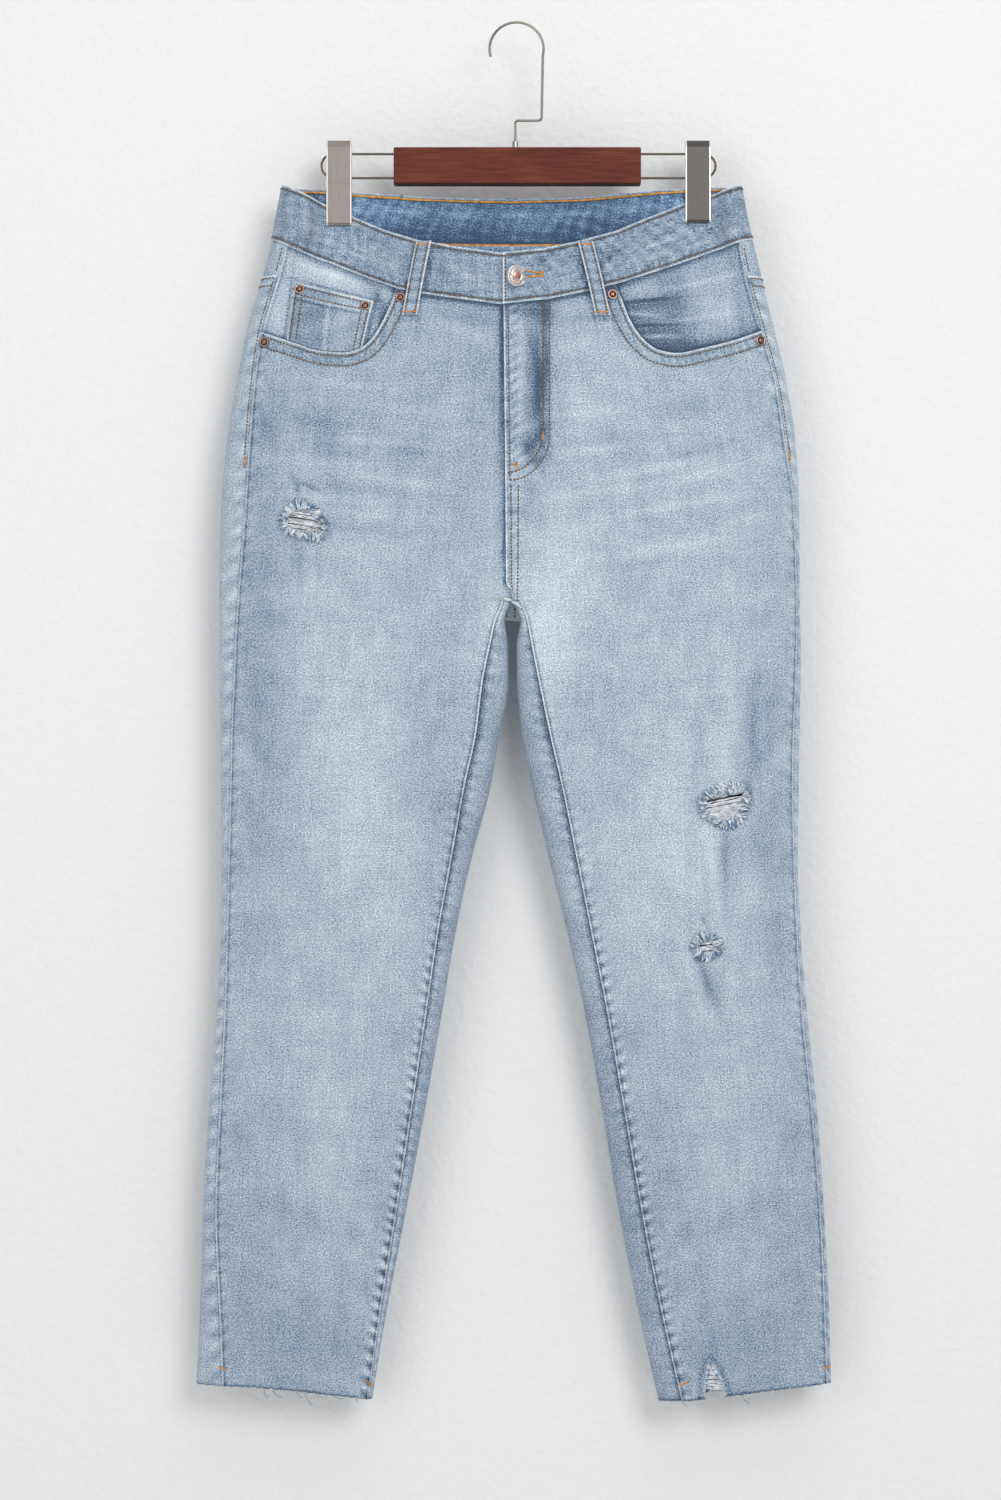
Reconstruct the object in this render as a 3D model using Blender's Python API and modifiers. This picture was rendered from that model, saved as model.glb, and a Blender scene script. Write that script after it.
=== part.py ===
# Light-wash skinny jeans hanging from a hanger with two trouser clips.
# Metres, +Z up. The front faces -Y. The origin is the point where the hook hangs.
# "Right" and "left" are the wearer's, so the right leg is at -X.
import math
from functools import lru_cache

import bmesh
import bpy
import numpy as np
from mathutils import Vector
from mathutils.bvhtree import BVHTree

COLLECTION = "jeans_on_clip_hanger"

RIGHT, LEFT = -1, 1
SIDE_NAMES = {RIGHT: "right", LEFT: "left"}

MM = 0.001
WALL = 1.4           # denim as built, millimetres
SEAM = 0.3           # room between pieces that are sewn together
BAND_SEAM = 0.6      # room under the curved edge of the waistband
LAID = 0.55          # room under a piece that is laid on a curved panel
CENTRE = -3.0        # x of the centre front and centre back seams

# Every table is in millimetres. "down" is measured from the hanging point, x from its middle.
CROTCH, HIP_LEVEL, HEM_LEVEL = 473.6, 399.0, 1055.0

# Hip tube: outer edge and side seam of each side.
HIP_COLUMNS = ("down", "outer_right", "seam_right", "outer_left", "seam_left")
HIP_TABLE = (
    (120, -189, -174, 183, 170),
    (161, -197, -182, 190.5, 177.5),
    (186, -201.5, -187.5, 196.5, 183.5),
    (214, -209, -195.5, 203, 190),
    (255, -221, -207, 213, 201),
    (297, -229, -213.3, 222.5, 212.5),
    (338, -236, -217, 229, 219),
    (399, -241.5, -221, 232.5, 228),
    (473, -243, -227, 233, 230.5),
)

# Legs below the crotch: outer edge, side seam, inner edge and inseam, the seams as seen from the front.
LEG_COLUMNS = ("down", "outer", "side_seam", "inner", "inseam")
LEG_TABLES = {
    RIGHT: (
        (473, -243, -227, -3.2, -9.5),
        (482, -243, -227.6, -7.1, -12.5),
        (488, -243, -228, -9.2, -15.5),
        (511, -242.5, -229.5, -6.5, -21),
        (540, -242.4, -230.5, -6, -26.8),
        (584, -241.8, -232.5, -13.6, -32.5),
        (624, -241.5, -233.3, -20.2, -41.3),
        (686, -240.8, -234.9, -36.5, -52.5),
        (747, -241.6, -236.5, -49.5, -63.5),
        (809, -244.9, -238.2, -60, -72.5),
        (891, -251.4, -242.3, -74.3, -84.8),
        (973, -256.3, -245.5, -89.6, -97.2),
        (1055, -258.8, -242.3, -105.6, -110.2),
        (1130, -262.5, -239, -118, -121),
    ),
    LEFT: (
        (473, 233, 230.5, -2.8, 3.5),
        (482, 233, 230.5, 1.5, 6.2),
        (488, 233.2, 230.6, 4.1, 8.6),
        (511, 233.8, 230.3, 0.9, 13),
        (540, 233.8, 229.5, 1.1, 18.8),
        (584, 232.8, 227.6, 5.2, 28),
        (624, 232.2, 226.9, 13.4, 37.3),
        (686, 231.6, 228.3, 27.8, 50),
        (747, 234, 230.8, 42.8, 62),
        (809, 238.9, 234.9, 56.2, 74.3),
        (891, 247.1, 243, 70.8, 88.6),
        (973, 252.9, 249.7, 84.3, 102.8),
        (1055, 257, 253.6, 100.5, 119),
        (1130, 259, 256, 117.5, 136),
    ),
}

# Half depths of the flattened tube, and how full it stays at the centre seam and how blunt the inner
# edge of a leg is.
DEPTH_COLUMNS = ("down", "front", "back", "centre_full", "inner_blunt")
DEPTH_TABLE = (
    (120, 22, 12, 1.0, 9),
    (186, 30, 15, 1.0, 9),
    (255, 28, 21, 0.98, 9),
    (338, 25, 25, 0.92, 9),
    (430, 23, 25, 0.8, 9),
    (473, 22, 24, 0.72, 9),
    (540, 21, 22, 0.85, 6),
    (620, 20, 21, 1.0, 4),
    (747, 18, 18, 1.0, 2.8),
    (891, 16, 16, 1.0, 2.4),
    (1130, 13, 13, 1.0, 2.3),
)
OUTER_BLUNT = 2.4
CENTRE_REACH = 0.45   # share of the width over which the centre seam flattens a section
EDGE_SWELL = 0.25     # swell below which folds and clips fade out
FOLD_FADE = 2.2

# Largest folds: face, x, down, heading from vertical in degrees, length, width, height (- sinks in).
FOLDS = (
    ("front", -152, 448, 12, 70, 16, -3.2),
    ("front", 168, 596, -14, 90, 14, 3.0),
    ("front", 150, 690, 6, 70, 12, -3.0),
    ("front", 163, 815, 20, 120, 16, -2.6),
    ("front", -150, 690, -24, 90, 22, 2.4),
    ("front", -168, 905, 22, 110, 20, 2.2),
    ("front", 92, 560, 30, 90, 18, 2.2),
    ("front", -60, 420, 58, 80, 16, 2.2),
    ("front", 60, 405, -60, 90, 16, -2.2),
    ("back", -130, 520, 62, 110, 16, -3.0),
    ("back", 128, 536, -60, 110, 16, -3.0),
    ("back", -165, 700, 76, 100, 18, 2.6),
    ("back", 150, 712, -74, 100, 18, 2.6),
    ("back", 172, 930, 30, 110, 18, 2.4),
    ("back", -175, 960, -28, 110, 18, 2.4),
)

# Waistband: edges as x against down, front and back, from the right edge to the left one.
BAND_FRONT_TOP = ((-191.5, 133), (-155, 149), (-133, 158.5), (-108, 170), (-80, 180.5), (-48, 187.5),
                  (-11, 193), (21, 189.5), (51, 183), (81, 173.5), (108, 160.5), (138, 147.5), (185.5, 133))
BAND_FRONT_SEAM = ((-201, 178.5), (-184, 186), (-150, 198), (-123, 209.5), (-96, 220.5), (-72, 226),
                   (-42, 230.5), (-12, 234.5), (25, 230.5), (57, 224), (87, 215.5), (112, 206),
                   (137, 196.5), (163, 187), (193, 178.5))
BAND_BACK_TOP = ((-191.5, 133), (-133, 138.5), (-82, 140.5), (-4, 141.8), (55, 140.4), (109, 136.8),
                 (185.5, 133))
BAND_BACK_SEAM = ((-201, 178.5), (-110, 181), (-3, 182), (100, 181), (193, 178.5))
BAND_FOLD_X = {RIGHT: (-191.5, -201.0), LEFT: (185.5, 193.0)}
BAND_ROWS = 3

# Yoke seam: share of the way from the side seam to the centre back, against down.
YOKE_SEAM = ((0.0, 209.5), (0.12, 210), (1.0, 249))

# The left front laps over the right one at the fly: where its edge runs, and how far the lift lasts.
FLY_EDGE = ((180, -11), (235, -10), (354, -8.8), (464, -8), (468, CENTRE))
FLY_FLAT, FLY_EASE, FLY_FOOT, FLY_END = 13.0, 17.0, 464.0, 483.6
FLY_AT_BAND, FLY_AT_SEAM = 200.0, 230.0
LEAST_COLUMN = 6.0

# Where the back panel meets the inseam: how far it turns in below the crotch, and over what height.
INSEAM_TURN, INSEAM_TURN_OVER = 0.1, 110.0

# Hems: x against down, and the level at which the width of a leg is taken for them.
HEM_WIDTH_AT = 1115.0
HEMS = {RIGHT: ((-263, 1114.5), (-214, 1115.5), (-175, 1119), (-137, 1124), (-116, 1127.5)),
        LEFT: ((114, 1129.5), (156, 1125), (210, 1118), (262, 1113))}

# Clips of the hanger: where each pinches the waistband.
CLIP_X = {RIGHT: -144.7, LEFT: 149.5}
CLIP_FLAT, PINCH_INWARD, PINCH_OUTWARD = 11.0, 58.0, 13.0
PINCH_FULL_DOWN, PINCH_END_DOWN, PINCH_WIDENING = 178.0, 262.0, 0.9
PINCHED_HALF = WALL + SEAM / 2

# Pocket mouths, from the waist seam round to the side seam.
POCKET_MOUTHS = {
    RIGHT: ((-98.2, 214), (-99, 225), (-101.5, 233), (-107.8, 247.5), (-116.7, 262), (-126.4, 270),
            (-139.4, 273.3), (-158.1, 271.8), (-179.2, 265.3), (-201, 257.6), (-216, 252)),
    LEFT: ((82.2, 210), (83.3, 221), (87, 232.5), (93.6, 248.8), (103.4, 262.6), (115.6, 271.2),
           (130.2, 273.8), (153.4, 269.2), (178.1, 262.6), (194.8, 256.3), (212, 249)),
}
# The cut for a pocket mouth reaches this far out, and between these levels beyond the side seam.
MOUTH_CUT = dict(far=245.0, low=240.0, high=150.0)
CUT_DEPTH = (-60.0, 4.0)
# Coin pocket on the right facing: its top edge, and x at the foot of its sides.
COIN_CLEAR = 0.9
COIN_TOP = ((-180.3, 213.5), (-115.7, 230.6))
COIN_FOOT_X = (-186.2, -124.4)
COIN_WALL, COIN_LAID = 1.2, 0.8

# Belt loops: face, x and down of the top, x and down of the foot.
BELT_LOOPS = (
    ("front", -74.0, 182.0, -86.0, 243.0),
    ("front", 56.0, 183.0, 70.6, 243.5),
    ("back", -96.0, 139.0, -101.0, 201.0),
    ("back", -3.0, 140.6, -3.0, 203.0),
    ("back", 90.0, 137.4, 95.0, 200.0),
)
LOOP_WIDTH, LOOP_WALL, LOOP_ARCH = 12.4, 1.4, 1.6

# Back patch pockets: inner and outer side at the top, the corner and the point below.
BACK_POCKET = dict(inner=38.0, outer=178.0, top=268.0, taper=7.0, corner=398.0, point=418.0)

BUTTON_AT = (0.7, 212.0)
RIVETS = ((-93.8, 228.0, "front"), (-204.6, 263.6, "front"), (78.6, 226.0, "front"), (199.5, 262.4, "front"),
          (-176.4, 220.0, "coin"), (-122.6, 234.8, "coin"))

# Rips: outlines in x and down, cut through the front panels. The last one opens through the hem.
RIPS = {
    "front_right": (
        ((-187, 408), (-184, 403), (-178.5, 399), (-168, 401), (-161.5, 407.5), (-157.4, 413),
         (-157.4, 420), (-168, 420.4), (-178.5, 418.8), (-185.5, 415)),
    ),
    "front_left": (
        ((152.2, 640.5), (156, 635), (163.8, 632.6), (174.4, 631), (186.6, 629), (186, 638), (182, 648),
         (171, 655), (162, 651.5), (155, 647)),
        ((147, 756.2), (150.5, 752), (156, 750.4), (161, 752.5), (163.2, 756.5), (160, 760.5),
         (154.5, 762), (149.5, 760)),
        ((158.5, 1095.5), (163.5, 1102), (170, 1117), (172.5, 1140), (154, 1140), (154.8, 1124),
         (155.4, 1110)),
    ),
}

HOOK_WIRE, HOOK_ARC, HOOK_ARC_X = 2.2, 22.2, 0.8
HOOK_STEM = dict(jog=79.5, jog_x=21.3, x=-0.3, corner=2.6)
BAR = dict(left=-99.9, right=102.6, top=102.4, foot=132.6, thick=13.0, round=1.2)
FERRULE = dict(top=96.4, foot=102.1, radius=2.4)
LOOP_WIRE, LOOP_TOP, LOOP_FOOT, LOOP_REACH = 2.0, 107.0, 126.7, 14.5
CLIP_PLATE = dict(width=21.0, top=96.5, thick=1.3)
CLIP_FOOT = {RIGHT: 166.3, LEFT: 164.0}

ARC_SAMPLES = 120
FRONT_COLUMNS, BACK_COLUMNS, WRAP_COLUMNS, FACE_ROW = 12, 12, 4, 27.0
CROTCH_ROW, CROTCH_ROWS_END = 10.0, 512.0
BAND_SIDE, YOKE_ROWS, HIP_ROWS, HEM_ROWS = 183.0, 3, 8, 3
FOLD_SHARES = (1.3, 1.6, 1.82, 1.95, 2.0)
FACING_COLUMNS, FACING_ROWS = 8, 7
BESIDE = 200.0   # well outside the garment, where a search for its surface starts

COLOURS = {
    "denim": ((0.42, 0.52, 0.62), 0.85, 0.0),
    "rivet": ((0.62, 0.36, 0.24), 0.35, 1.0),
    "button": ((0.62, 0.56, 0.52), 0.35, 1.0),
    "wood": ((0.16, 0.05, 0.035), 0.4, 0.0),
    "nickel": ((0.60, 0.57, 0.55), 0.35, 1.0),
}


def column(table, columns, name, down):
    """Value of one named column at a depth below the hanging point, on a smooth curve."""
    rows = np.array(table, dtype=float)
    knots = rows[:, 0]
    values = rows[:, columns.index(name)]
    return smooth_curve(knots, values, down)


def smooth_curve(knots, values, at):
    """Cubic through the knots, with slopes that never overshoot them."""
    knots = np.asarray(knots, dtype=float)
    values = np.asarray(values, dtype=float)
    steps = np.diff(knots)
    slopes = np.diff(values) / steps
    inner = np.where(slopes[:-1] * slopes[1:] > 0,
                     2 * slopes[:-1] * slopes[1:] / (slopes[:-1] + slopes[1:] + 1e-12), 0.0)
    ends = np.concatenate(([slopes[0]], inner, [slopes[-1]]))
    at = np.clip(at, knots[0], knots[-1])
    index = np.clip(np.searchsorted(knots, at, side="right") - 1, 0, len(steps) - 1)
    step = steps[index]
    part = (at - knots[index]) / step
    low, high = values[index], values[index + 1]
    return ((1 + 2 * part) * (1 - part) ** 2 * low + part * (1 - part) ** 2 * step * ends[index]
            + part ** 2 * (3 - 2 * part) * high + part ** 2 * (part - 1) * step * ends[index + 1])


def along(points, x):
    """Second value of a list of pairs at a first value, straight between them."""
    xs, values = zip(*sorted(points))
    return float(np.interp(x, xs, values))


def ease(low, high, value):
    """0 below low, 1 above high, smooth between."""
    part = min(max((value - low) / (high - low), 0.0), 1.0)
    return part * part * (3 - 2 * part)


def edges(side, down):
    """Outer edge, side seam, inner edge and front inner boundary of one side."""
    name = SIDE_NAMES[side]
    if down < CROTCH:
        outer = column(HIP_TABLE, HIP_COLUMNS, f"outer_{name}", down)
        seam = column(HIP_TABLE, HIP_COLUMNS, f"seam_{name}", down)
        return outer, seam, CENTRE, CENTRE
    table = LEG_TABLES[side]
    return tuple(column(table, LEG_COLUMNS, key, down) for key in ("outer", "side_seam", "inner", "inseam"))


def fold_height(face, x, down):
    """How far the large folds push a face out at these places."""
    height = np.zeros_like(x)
    for fold_face, fold_x, fold_down, heading, length, width, rise in FOLDS:
        if fold_face != face or abs(down - fold_down) > length:
            continue
        angle = math.radians(heading)
        across = (x - fold_x) * math.cos(angle) - (down - fold_down) * math.sin(angle)
        lengthwise = (x - fold_x) * math.sin(angle) + (down - fold_down) * math.cos(angle)
        height += rise * np.exp(-(across / width) ** 2) * np.exp(-(FOLD_FADE * lengthwise / length) ** 2)
    return height


def pinch(side, x, down):
    """1 where a clip holds the two faces together, 0 away from it."""
    if down > PINCH_END_DOWN:
        return np.zeros_like(x)
    lasts = 1 - ease(PINCH_FULL_DOWN, PINCH_END_DOWN, down)
    outward = (x - CLIP_X[side]) * side
    beyond = np.maximum(np.abs(outward) - CLIP_FLAT, 0.0)
    widening = PINCH_WIDENING * max(down - PINCH_FULL_DOWN, 0.0)
    reach = np.where(outward > 0, PINCH_OUTWARD + widening, PINCH_INWARD)
    return lasts * np.exp(-(beyond / reach) ** 2)


@lru_cache(maxsize=None)
def ring(side, down):
    """One level section of one side: front from the inner edge to the outer one, then the back.

    Points, outward directions and the run along the cloth, in millimetres.
    """
    outer, _, inner, _ = edges(side, down)
    front, back, full, blunt = (column(DEPTH_TABLE, DEPTH_COLUMNS, key, down)
                                for key in DEPTH_COLUMNS[1:])
    share = (1 - np.cos(np.linspace(0, math.pi, ARC_SAMPLES + 1))) / 2
    past_middle = np.clip((share - 0.5) / 0.5, 0, 1)
    swell = (1 - past_middle ** OUTER_BLUNT) ** (1 / OUTER_BLUNT)
    swell = swell * (1 - (1 - full) * np.clip((CENTRE_REACH - share) / CENTRE_REACH, 0, 1) ** 2)
    if down >= CROTCH:
        before_middle = np.clip((0.5 - share) / 0.5, 0, 1)
        swell = swell * (1 - before_middle ** blunt) ** (1 / blunt)
    x = inner + (outer - inner) * share
    held = pinch(side, x, down)
    edge = np.clip(swell / EDGE_SWELL, 0, 1)
    halves = {}
    for face, depth in (("front", front), ("back", back)):
        bulge = (depth * swell + fold_height(face, x, down) * edge) * (1 - held)
        halves[face] = bulge + PINCHED_HALF * edge * held
    points = np.concatenate((np.stack((x, -halves["front"]), 1), np.stack((x, halves["back"]), 1)[-2::-1]))
    steps = np.linalg.norm(np.diff(points, axis=0), axis=1)
    keep = np.concatenate(([True], steps > 1e-6))
    points = points[keep]
    run = np.concatenate(([0.0], np.cumsum(np.linalg.norm(np.diff(points, axis=0), axis=1))))
    if down >= CROTCH:
        before = np.concatenate((points[-2:-1], points[:-1]))
        after = np.concatenate((points[1:], points[1:2]))
    else:
        before = np.concatenate((points[:1], points[:-1]))
        after = np.concatenate((points[1:], points[-1:]))
    heading = after - before
    heading /= np.linalg.norm(heading, axis=1)[:, None]
    outward = np.stack((heading[:, 1], -heading[:, 0]), 1) * side
    turn = int(np.argmax(points[:, 0] * side))
    return points, outward, run, turn


def on_ring(side, down, run_at, out):
    """Point on the section at a run along the cloth, moved outwards."""
    points, outward, run, _ = ring(side, round(float(down), 3))
    x, y, dx, dy = (np.interp(run_at, run, values)
                    for values in (points[:, 0], points[:, 1], outward[:, 0], outward[:, 1]))
    size = math.hypot(dx, dy)
    return Vector((x + out * dx / size, y + out * dy / size, -down)) * MM


def run_at_x(side, face, down, x):
    """Run along the cloth at which a face passes an x."""
    points, _, run, turn = ring(side, round(float(down), 3))
    if face == "front":
        return float(np.interp(side * x, side * points[:turn + 1, 0], run[:turn + 1]))
    return float(np.interp(-side * x, -side * points[turn:, 0], run[turn:]))


def on_face(face, x, down, out):
    """Point of the front or the back at x and down, moved outwards."""
    side = RIGHT if x < CENTRE else LEFT
    return on_ring(side, down, run_at_x(side, face, down, x), out)


def facing_out(face, x, down):
    """Outward direction of the front or the back at x and down."""
    side = RIGHT if x < CENTRE else LEFT
    step = 1.5
    across = on_face(face, x + step, down, 0) - on_face(face, x - step, down, 0)
    downward = on_face(face, x, down + step, 0) - on_face(face, x, down - step, 0)
    normal = across.cross(downward).normalized()
    wanted = -1 if face == "front" else 1
    return normal if normal.y * wanted > 0 else -normal


def surfaces(*names):
    """Search trees over the flat facets of pieces that something lies on."""
    return [BVHTree.FromPolygons([vert.co for vert in mesh.vertices], [face.vertices for face in mesh.polygons])
            for mesh in (bpy.data.objects[name].data for name in names)]


def laid_on(carriers, face, x, down, out):
    """Point over the outermost facet at x and down of what carries a piece, moved outwards."""
    away = -1 if face == "front" else 1
    start = Vector((x, away * BESIDE, -down)) * MM
    hits = [carrier.ray_cast(start, Vector((0, -away, 0)))[0] for carrier in carriers]
    ys = [hit.y for hit in hits if hit is not None and hit.y * away > 0]
    nearest = min(ys, key=lambda y: -away * y) if ys else on_face(face, x, down, 0).y
    return Vector((x * MM, nearest, -down * MM)) + facing_out(face, x, down) * out * MM


def fly_lift(beyond_centre):
    """How far the left front stands off at the fly, by the distance past the centre seam."""
    return (WALL + SEAM) * (1 - ease(FLY_FLAT, FLY_FLAT + FLY_EASE, beyond_centre))


def new_collection(name):
    made = bpy.data.collections.new(name)
    bpy.context.scene.collection.children.link(made)
    return made


def material(name):
    colour, roughness, metallic = COLOURS[name]
    made = bpy.data.materials.get(name)
    if made is None:
        made = bpy.data.materials.new(name)
        made.use_nodes = True
        shader = made.node_tree.nodes["Principled BSDF"]
        shader.inputs["Base Color"].default_value = (*colour, 1.0)
        shader.inputs["Roughness"].default_value = roughness
        shader.inputs["Metallic"].default_value = metallic
    return made


def add_object(name, mesh, look, smooth_angle=40.0):
    """Object in the part's collection; each has a material of its own."""
    made = bpy.data.objects.new(name, mesh)
    PART.objects.link(made)
    own = material(look).copy()
    own.name = f"{name}_{look}"
    mesh.materials.append(own)
    if hasattr(mesh, "shade_smooth"):
        mesh.shade_smooth()
        mesh.set_sharp_from_angle(angle=math.radians(smooth_angle))
    return made


def wall_mesh(name, outside, inside):
    """Closed wall between two grids of points."""
    rows, columns = len(outside), len(outside[0])
    mesh = bpy.data.meshes.new(name)
    body = bmesh.new()
    outer, inner = ([[body.verts.new(place) for place in line] for line in grid] for grid in (outside, inside))
    for row in range(rows - 1):
        for col in range(columns - 1):
            corners = ((row, col), (row + 1, col), (row + 1, col + 1), (row, col + 1))
            body.faces.new([outer[i][j] for i, j in corners])
            body.faces.new([inner[i][j] for i, j in reversed(corners)])
    rim = [(0, col) for col in range(columns - 1, 0, -1)] + [(row, 0) for row in range(rows - 1)]
    rim += [(rows - 1, col) for col in range(columns - 1)]
    rim += [(row, columns - 1) for row in range(rows - 1, 0, -1)]
    for (i, j), (m, n) in zip(rim, rim[1:] + rim[:1]):
        body.faces.new([outer[m][n], outer[i][j], inner[i][j], inner[m][n]])
    bmesh.ops.triangulate(body, faces=body.faces)
    if body.calc_volume(signed=True) < 0:
        bmesh.ops.reverse_faces(body, faces=body.faces)
    body.to_mesh(mesh)
    body.free()
    return mesh


def wall_piece(name, look, point, rows, columns, out=0.0, thick=WALL):
    """Cloth wall: point(row, column, out) gives each place, rows and columns are the numbers of lines."""
    outside = [[point(row, col, out) for col in range(columns)] for row in range(rows)]
    inside = [[point(row, col, out - thick) for col in range(columns)] for row in range(rows)]
    return add_object(name, wall_mesh(name, outside, inside), look)


def levels(start, end, step):
    """Even levels from start to end, about a step apart."""
    count = max(1, round((end - start) / step))
    return list(np.linspace(start, end, count + 1))


def upper_levels():
    """Levels of a leg panel between the hips and the crotch."""
    return levels(HIP_LEVEL, FLY_FOOT, FACE_ROW)[1:] + [FLY_FOOT + 4, CROTCH - SEAM]


def lower_levels(start):
    """Levels of a leg panel from the crotch to above the hem."""
    return levels(start, CROTCH_ROWS_END, CROTCH_ROW) + levels(CROTCH_ROWS_END, HEM_LEVEL, FACE_ROW)[1:]


def side_levels(side):
    """Levels at the side seam from the waistband past the yoke seam to the hips."""
    seam_x = edges(side, BAND_SIDE)[1]
    start = along(BAND_FRONT_SEAM, seam_x) + BAND_SEAM
    yoke_foot = YOKE_SEAM[0][1]
    back_start = yoke_foot + SEAM
    return levels(start, yoke_foot, (yoke_foot - start) / YOKE_ROWS) + [
        back_start + (HIP_LEVEL - back_start) * row / HIP_ROWS for row in range(1, HIP_ROWS + 1)]


def fly_x(down):
    """x of the edge of the left front where it laps over the right one."""
    return along([(d, x) for d, x in FLY_EDGE], down)


def front_runs(side, down):
    """Runs of a front panel's lines at one level: its inner edge, the lap, then even steps to the seam."""
    _, seam, _, inseam = edges(side, down)
    end = run_at_x(side, "front", down, seam) - SEAM / 2
    if down < CROTCH:
        lap = run_at_x(RIGHT, "front", down, fly_x(down))
        if side == RIGHT or lap < SEAM:
            first, second = SEAM / 2, max(lap, LEAST_COLUMN)
        else:
            first, second = -lap, 0.0
    else:
        first = run_at_x(side, "front", down, inseam) + SEAM / 2
        second = first + LEAST_COLUMN
    return [first, *np.linspace(second, end, FRONT_COLUMNS)]


def front_point(side):
    """Point function of a front leg panel, and its numbers of rows and columns."""
    side_downs = side_levels(side)
    waist_rows = len(side_downs)
    body_levels = upper_levels() + lower_levels(CROTCH)
    lap_x = fly_x(FLY_AT_SEAM)
    first_x, second_x = (CENTRE, lap_x) if side == RIGHT else (lap_x, CENTRE)
    waist_x = [first_x, *np.linspace(second_x, edges(side, BAND_SIDE)[1], FRONT_COLUMNS)]

    def down_at(row, col):
        if row < waist_rows:
            start = along(BAND_FRONT_SEAM, waist_x[col]) + BAND_SEAM
            part = (side_downs[row] - side_downs[0]) / (HIP_LEVEL - side_downs[0])
            return start + (HIP_LEVEL - start) * part
        row -= waist_rows
        if row < len(body_levels):
            return body_levels[row]
        row -= len(body_levels)
        _, seam, _, inseam = edges(side, HEM_WIDTH_AT)
        foot = along(HEMS[side], inseam + (seam - inseam) * col / FRONT_COLUMNS)
        return HEM_LEVEL + (foot - HEM_LEVEL) * (row + 1) / HEM_ROWS

    def point(row, col, out):
        down = down_at(row, col)
        run = front_runs(side, down)[col]
        lift = fly_lift(run) * (1 - ease(FLY_FOOT, FLY_END, down)) if side == LEFT else 0.0
        if run < 0:
            return on_ring(RIGHT, down, -run, out + lift)
        return on_ring(side, down, run, out + lift)

    return point, waist_rows + len(body_levels) + HEM_ROWS, FRONT_COLUMNS + 1


def round_the_edge(seam, outer, inner, share):
    """x at a share of the way from the side seam round the outer edge to the inner one."""
    turn = 0.1
    if share < turn:
        return seam + (outer - seam) * share / turn
    return outer + (inner - outer) * (share - turn) / (1 - turn)


def back_point(side):
    """Point function of a back leg panel, its rows of the seat, and its rows in all.

    The leg wraps from the side seam round to the inseam, in the columns after BACK_COLUMNS.
    """
    waist_rows = HIP_ROWS + 1
    upper = upper_levels()
    lower = lower_levels(CROTCH)

    def point(row, col, out):
        share = min(col / BACK_COLUMNS, 1.0)
        wrap = max((col - BACK_COLUMNS) / WRAP_COLUMNS, 0.0)
        if row < waist_rows:
            start = along(YOKE_SEAM, share) + SEAM
            down = start + (HIP_LEVEL - start) * row / (waist_rows - 1)
        elif row < waist_rows + len(upper):
            down = upper[row - waist_rows]
        elif row < waist_rows + len(upper) + len(lower):
            down = lower[row - waist_rows - len(upper)]
        else:
            done = (row - waist_rows - len(upper) - len(lower) + 1) / HEM_ROWS
            outer, seam, inner, inseam = edges(side, HEM_WIDTH_AT)
            x = round_the_edge(seam, outer, inner, share) + (inseam - inner) * wrap
            down = HEM_LEVEL + (along(HEMS[side], x) - HEM_LEVEL) * done
        outer, seam, inner, inseam = edges(side, down)
        start = run_at_x(side, "front", down, seam) + SEAM / 2
        total = ring(side, round(float(down), 3))[2][-1]
        if down < CROTCH:
            return on_ring(side, down, start + (total - SEAM / 2 - start) * share, out)
        back_share = INSEAM_TURN * ease(CROTCH, CROTCH + INSEAM_TURN_OVER, down)
        middle = run_at_x(side, "back", down, inner + (outer - inner) * back_share)
        end = total + run_at_x(side, "front", down, inseam) - SEAM / 2
        at = start + (middle - start) * share + (end - middle) * wrap
        return on_ring(side, down, at - total if at > total else at, out)

    seat_rows = waist_rows + len(upper)
    return point, seat_rows, seat_rows + len(lower) + HEM_ROWS


def make_leg_panels(side):
    name = SIDE_NAMES[side]
    point, rows, columns = front_point(side)
    front = wall_piece(f"front_{name}", "denim", point, rows, columns)
    point, seat_rows, rows = back_point(side)

    def leg_point(row, col, out):
        return point(seat_rows + row, col, out)

    wall_piece(f"seat_{name}", "denim", point, seat_rows, BACK_COLUMNS + 1)
    wall_piece(f"back_{name}", "denim", leg_point, rows - seat_rows, BACK_COLUMNS + WRAP_COLUMNS + 1)
    cut(front, f"pocket_mouth_{name}", mouth_outline(side))
    for number, outline in enumerate(RIPS[f"front_{name}"]):
        cut(front, f"rip_{name}_{number + 1}", outline)


def make_yoke(side):
    """Yoke from the waistband down to its slanting seam."""
    outer, seam, _, _ = edges(side, BAND_SIDE)

    def point(row, col, out):
        share = col / BACK_COLUMNS
        x = round_the_edge(seam, outer, CENTRE, share)
        start = along(BAND_FRONT_SEAM if share < 0.1 else BAND_BACK_SEAM, x) + BAND_SEAM
        down = start + (along(YOKE_SEAM, share) - start) * row / YOKE_ROWS
        first = run_at_x(side, "front", down, edges(side, down)[1]) + SEAM / 2
        last = ring(side, round(float(down), 3))[2][-1] - SEAM / 2
        return on_ring(side, down, first + (last - first) * share, out)

    wall_piece(f"yoke_{SIDE_NAMES[side]}", "denim", point, YOKE_ROWS + 1, BACK_COLUMNS + 1)


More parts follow.
